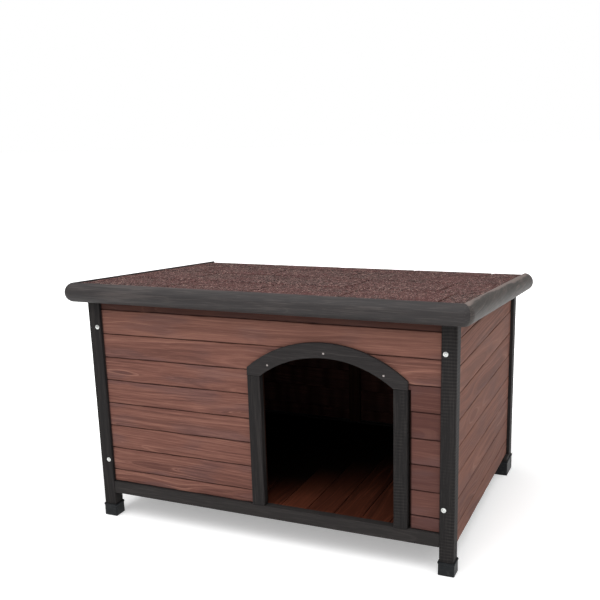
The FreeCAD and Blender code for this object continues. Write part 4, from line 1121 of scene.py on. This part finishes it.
class DOGHOUSE_OT_studio(bpy.types.Operator):
    """White floor and surroundings, lamps and the camera"""
    bl_idname = "doghouse.studio"
    bl_label = "Studio"

    def floor(self, near_glow):
        """A wide square floor. Camera, gloss and transmission rays see light added to it: a
        little near the house, where its shadow falls, and up to white further away."""
        mesh = bpy.data.meshes.new("studio_floor")
        reach = 30.0
        corners = [(-reach, -reach, 0), (reach, -reach, 0), (reach, reach, 0), (-reach, reach, 0)]
        mesh.from_pydata(corners, [], [(0, 1, 2, 3)])
        s = Shader("studio_floor_paint")
        s.feed(s.surface, {"Base Color": (0.9, 0.9, 0.9, 1), "Roughness": 0.9,
                           "Specular IOR Level": 0.1})
        rays = [s.add("ShaderNodeLightPath", output=name) for name in
                ("Is Camera Ray", "Is Glossy Ray", "Is Transmission Ray")]
        seen = rays[0].math("MAXIMUM", rays[0], rays[1])
        seen = seen.math("MAXIMUM", seen, rays[2])
        x, y, _ = s.split(s.place())
        away = (x * x + y * y) ** 0.5
        lift = near_glow + away.over(0.68, 1.4) * (1 - near_glow)
        glow = s.add("ShaderNodeEmission", {"Color": (1, 1, 1, 1), "Strength": seen * lift})
        both = s.nodes.new("ShaderNodeAddShader")
        s.links.new(s.surface.outputs[0], both.inputs[0])
        s.links.new(glow.socket, both.inputs[1])
        s.links.new(both.outputs[0], s.nodes["Material Output"].inputs["Surface"])
        mesh.materials.append(s.material)
        floor = bpy.data.objects.new("studio_floor", mesh)
        bpy.context.scene.collection.objects.link(floor)

    def surroundings(self, strength):
        """A white world: full white to the camera, and at the given strength to the object."""
        world = bpy.data.worlds.new("studio_world")
        bpy.context.scene.world = world
        world.use_nodes = True
        nodes, links = world.node_tree.nodes, world.node_tree.links
        back = nodes["Background"]
        back.inputs["Color"].default_value = (1, 1, 1, 1)
        path = nodes.new("ShaderNodeLightPath")
        blend = nodes.new("ShaderNodeMapRange")
        links.new(path.outputs["Is Camera Ray"], blend.inputs["Value"])
        blend.inputs["To Min"].default_value = strength
        blend.inputs["To Max"].default_value = 1.0
        links.new(blend.outputs[0], back.inputs["Strength"])

    def lamp(self, name, place, aim, size, watts):
        """A square lamp: where it hangs, what it faces, its side in metres and its power."""
        light = bpy.data.lights.new(name, "AREA")
        light.shape = "SQUARE"
        light.size = size
        light.energy = watts
        lamp = bpy.data.objects.new(name, light)
        lamp.location = place
        lamp.rotation_euler = (Vector(aim) - Vector(place)).to_track_quat("-Z", "Y").to_euler()
        bpy.context.scene.collection.objects.link(lamp)

    def camera(self, studio):
        """Looks along an azimuth and an elevation, rolled about its own view."""
        turn, rise, roll = studio.azimuth, studio.elevation, studio.roll
        ahead = Vector((-math.sin(turn) * math.cos(rise), math.cos(turn) * math.cos(rise),
                        -math.sin(rise)))
        right = ahead.cross(Vector((0, 0, 1))).normalized()
        up = right.cross(ahead)
        rolled = right * math.cos(roll) + up * math.sin(roll)
        upright = up * math.cos(roll) - right * math.sin(roll)
        data = bpy.data.cameras.new("studio_camera")
        data.lens = studio.lens
        data.sensor_width = 36
        data.shift_x, data.shift_y = studio.shift
        camera = bpy.data.objects.new("studio_camera", data)
        camera.matrix_world = Matrix.Translation(studio.place) @ Matrix(
            (rolled, upright, -ahead)).transposed().to_4x4()
        bpy.context.scene.collection.objects.link(camera)
        bpy.context.scene.camera = camera

    def execute(self, context):
        studio = context.scene.dog_house_studio
        self.floor(studio.glow)
        self.surroundings(studio.sky)
        self.lamp("top_lamp", (0.3, -0.8, 3.6), (0, 0, 0.3), 4.6, studio.top)
        self.lamp("key_lamp", (-0.7, -2.9, 3.3), (0, 0, 0.4), 3.4, studio.key)
        self.lamp("side_lamp", (3.0, -0.6, 2.8), (0, 0, 0.4), 2.0, studio.side)
        self.camera(studio)
        context.scene.view_settings.view_transform = "Standard"
        return {"FINISHED"}


class DOGHOUSE_PT_panel(bpy.types.Panel):
    """Lists the steps that dress the dog house"""
    bl_idname = "DOGHOUSE_PT_panel"
    bl_label = "Dog house"
    bl_space_type = "VIEW_3D"
    bl_region_type = "UI"
    bl_category = "Dog house"

    def draw(self, context):
        for operator in OPERATORS:
            self.layout.operator(operator.bl_idname)
        for group in ("dog_house_colours", "dog_house_sizes", "dog_house_studio"):
            values = getattr(context.scene, group)
            for name in values.bl_rna.properties.keys():
                if name not in ("rna_type", "name"):
                    self.layout.prop(values, name)


GROUPS = {"dog_house_colours": DogHouseColours, "dog_house_sizes": DogHouseSizes,
          "dog_house_studio": DogHouseStudio}
OPERATORS = (DOGHOUSE_OT_front_wall, DOGHOUSE_OT_other_walls, DOGHOUSE_OT_timber_frame,
             DOGHOUSE_OT_door_arch, DOGHOUSE_OT_inner_timber, DOGHOUSE_OT_foot_caps,
             DOGHOUSE_OT_fasteners, DOGHOUSE_OT_roof_trim, DOGHOUSE_OT_shingles, DOGHOUSE_OT_studio)
CLASSES = (*GROUPS.values(), *OPERATORS, DOGHOUSE_PT_panel)


def register():
    for item in CLASSES:
        bpy.utils.register_class(item)
    for name, group in GROUPS.items():
        setattr(bpy.types.Scene, name, PointerProperty(type=group))


def unregister():
    for name in GROUPS:
        delattr(bpy.types.Scene, name)
    for item in reversed(CLASSES):
        bpy.utils.unregister_class(item)


def main():
    register()
    for operator in OPERATORS:
        group, name = operator.bl_idname.split(".")
        getattr(getattr(bpy.ops, group), name)()


if __name__ == "__main__":
    main()
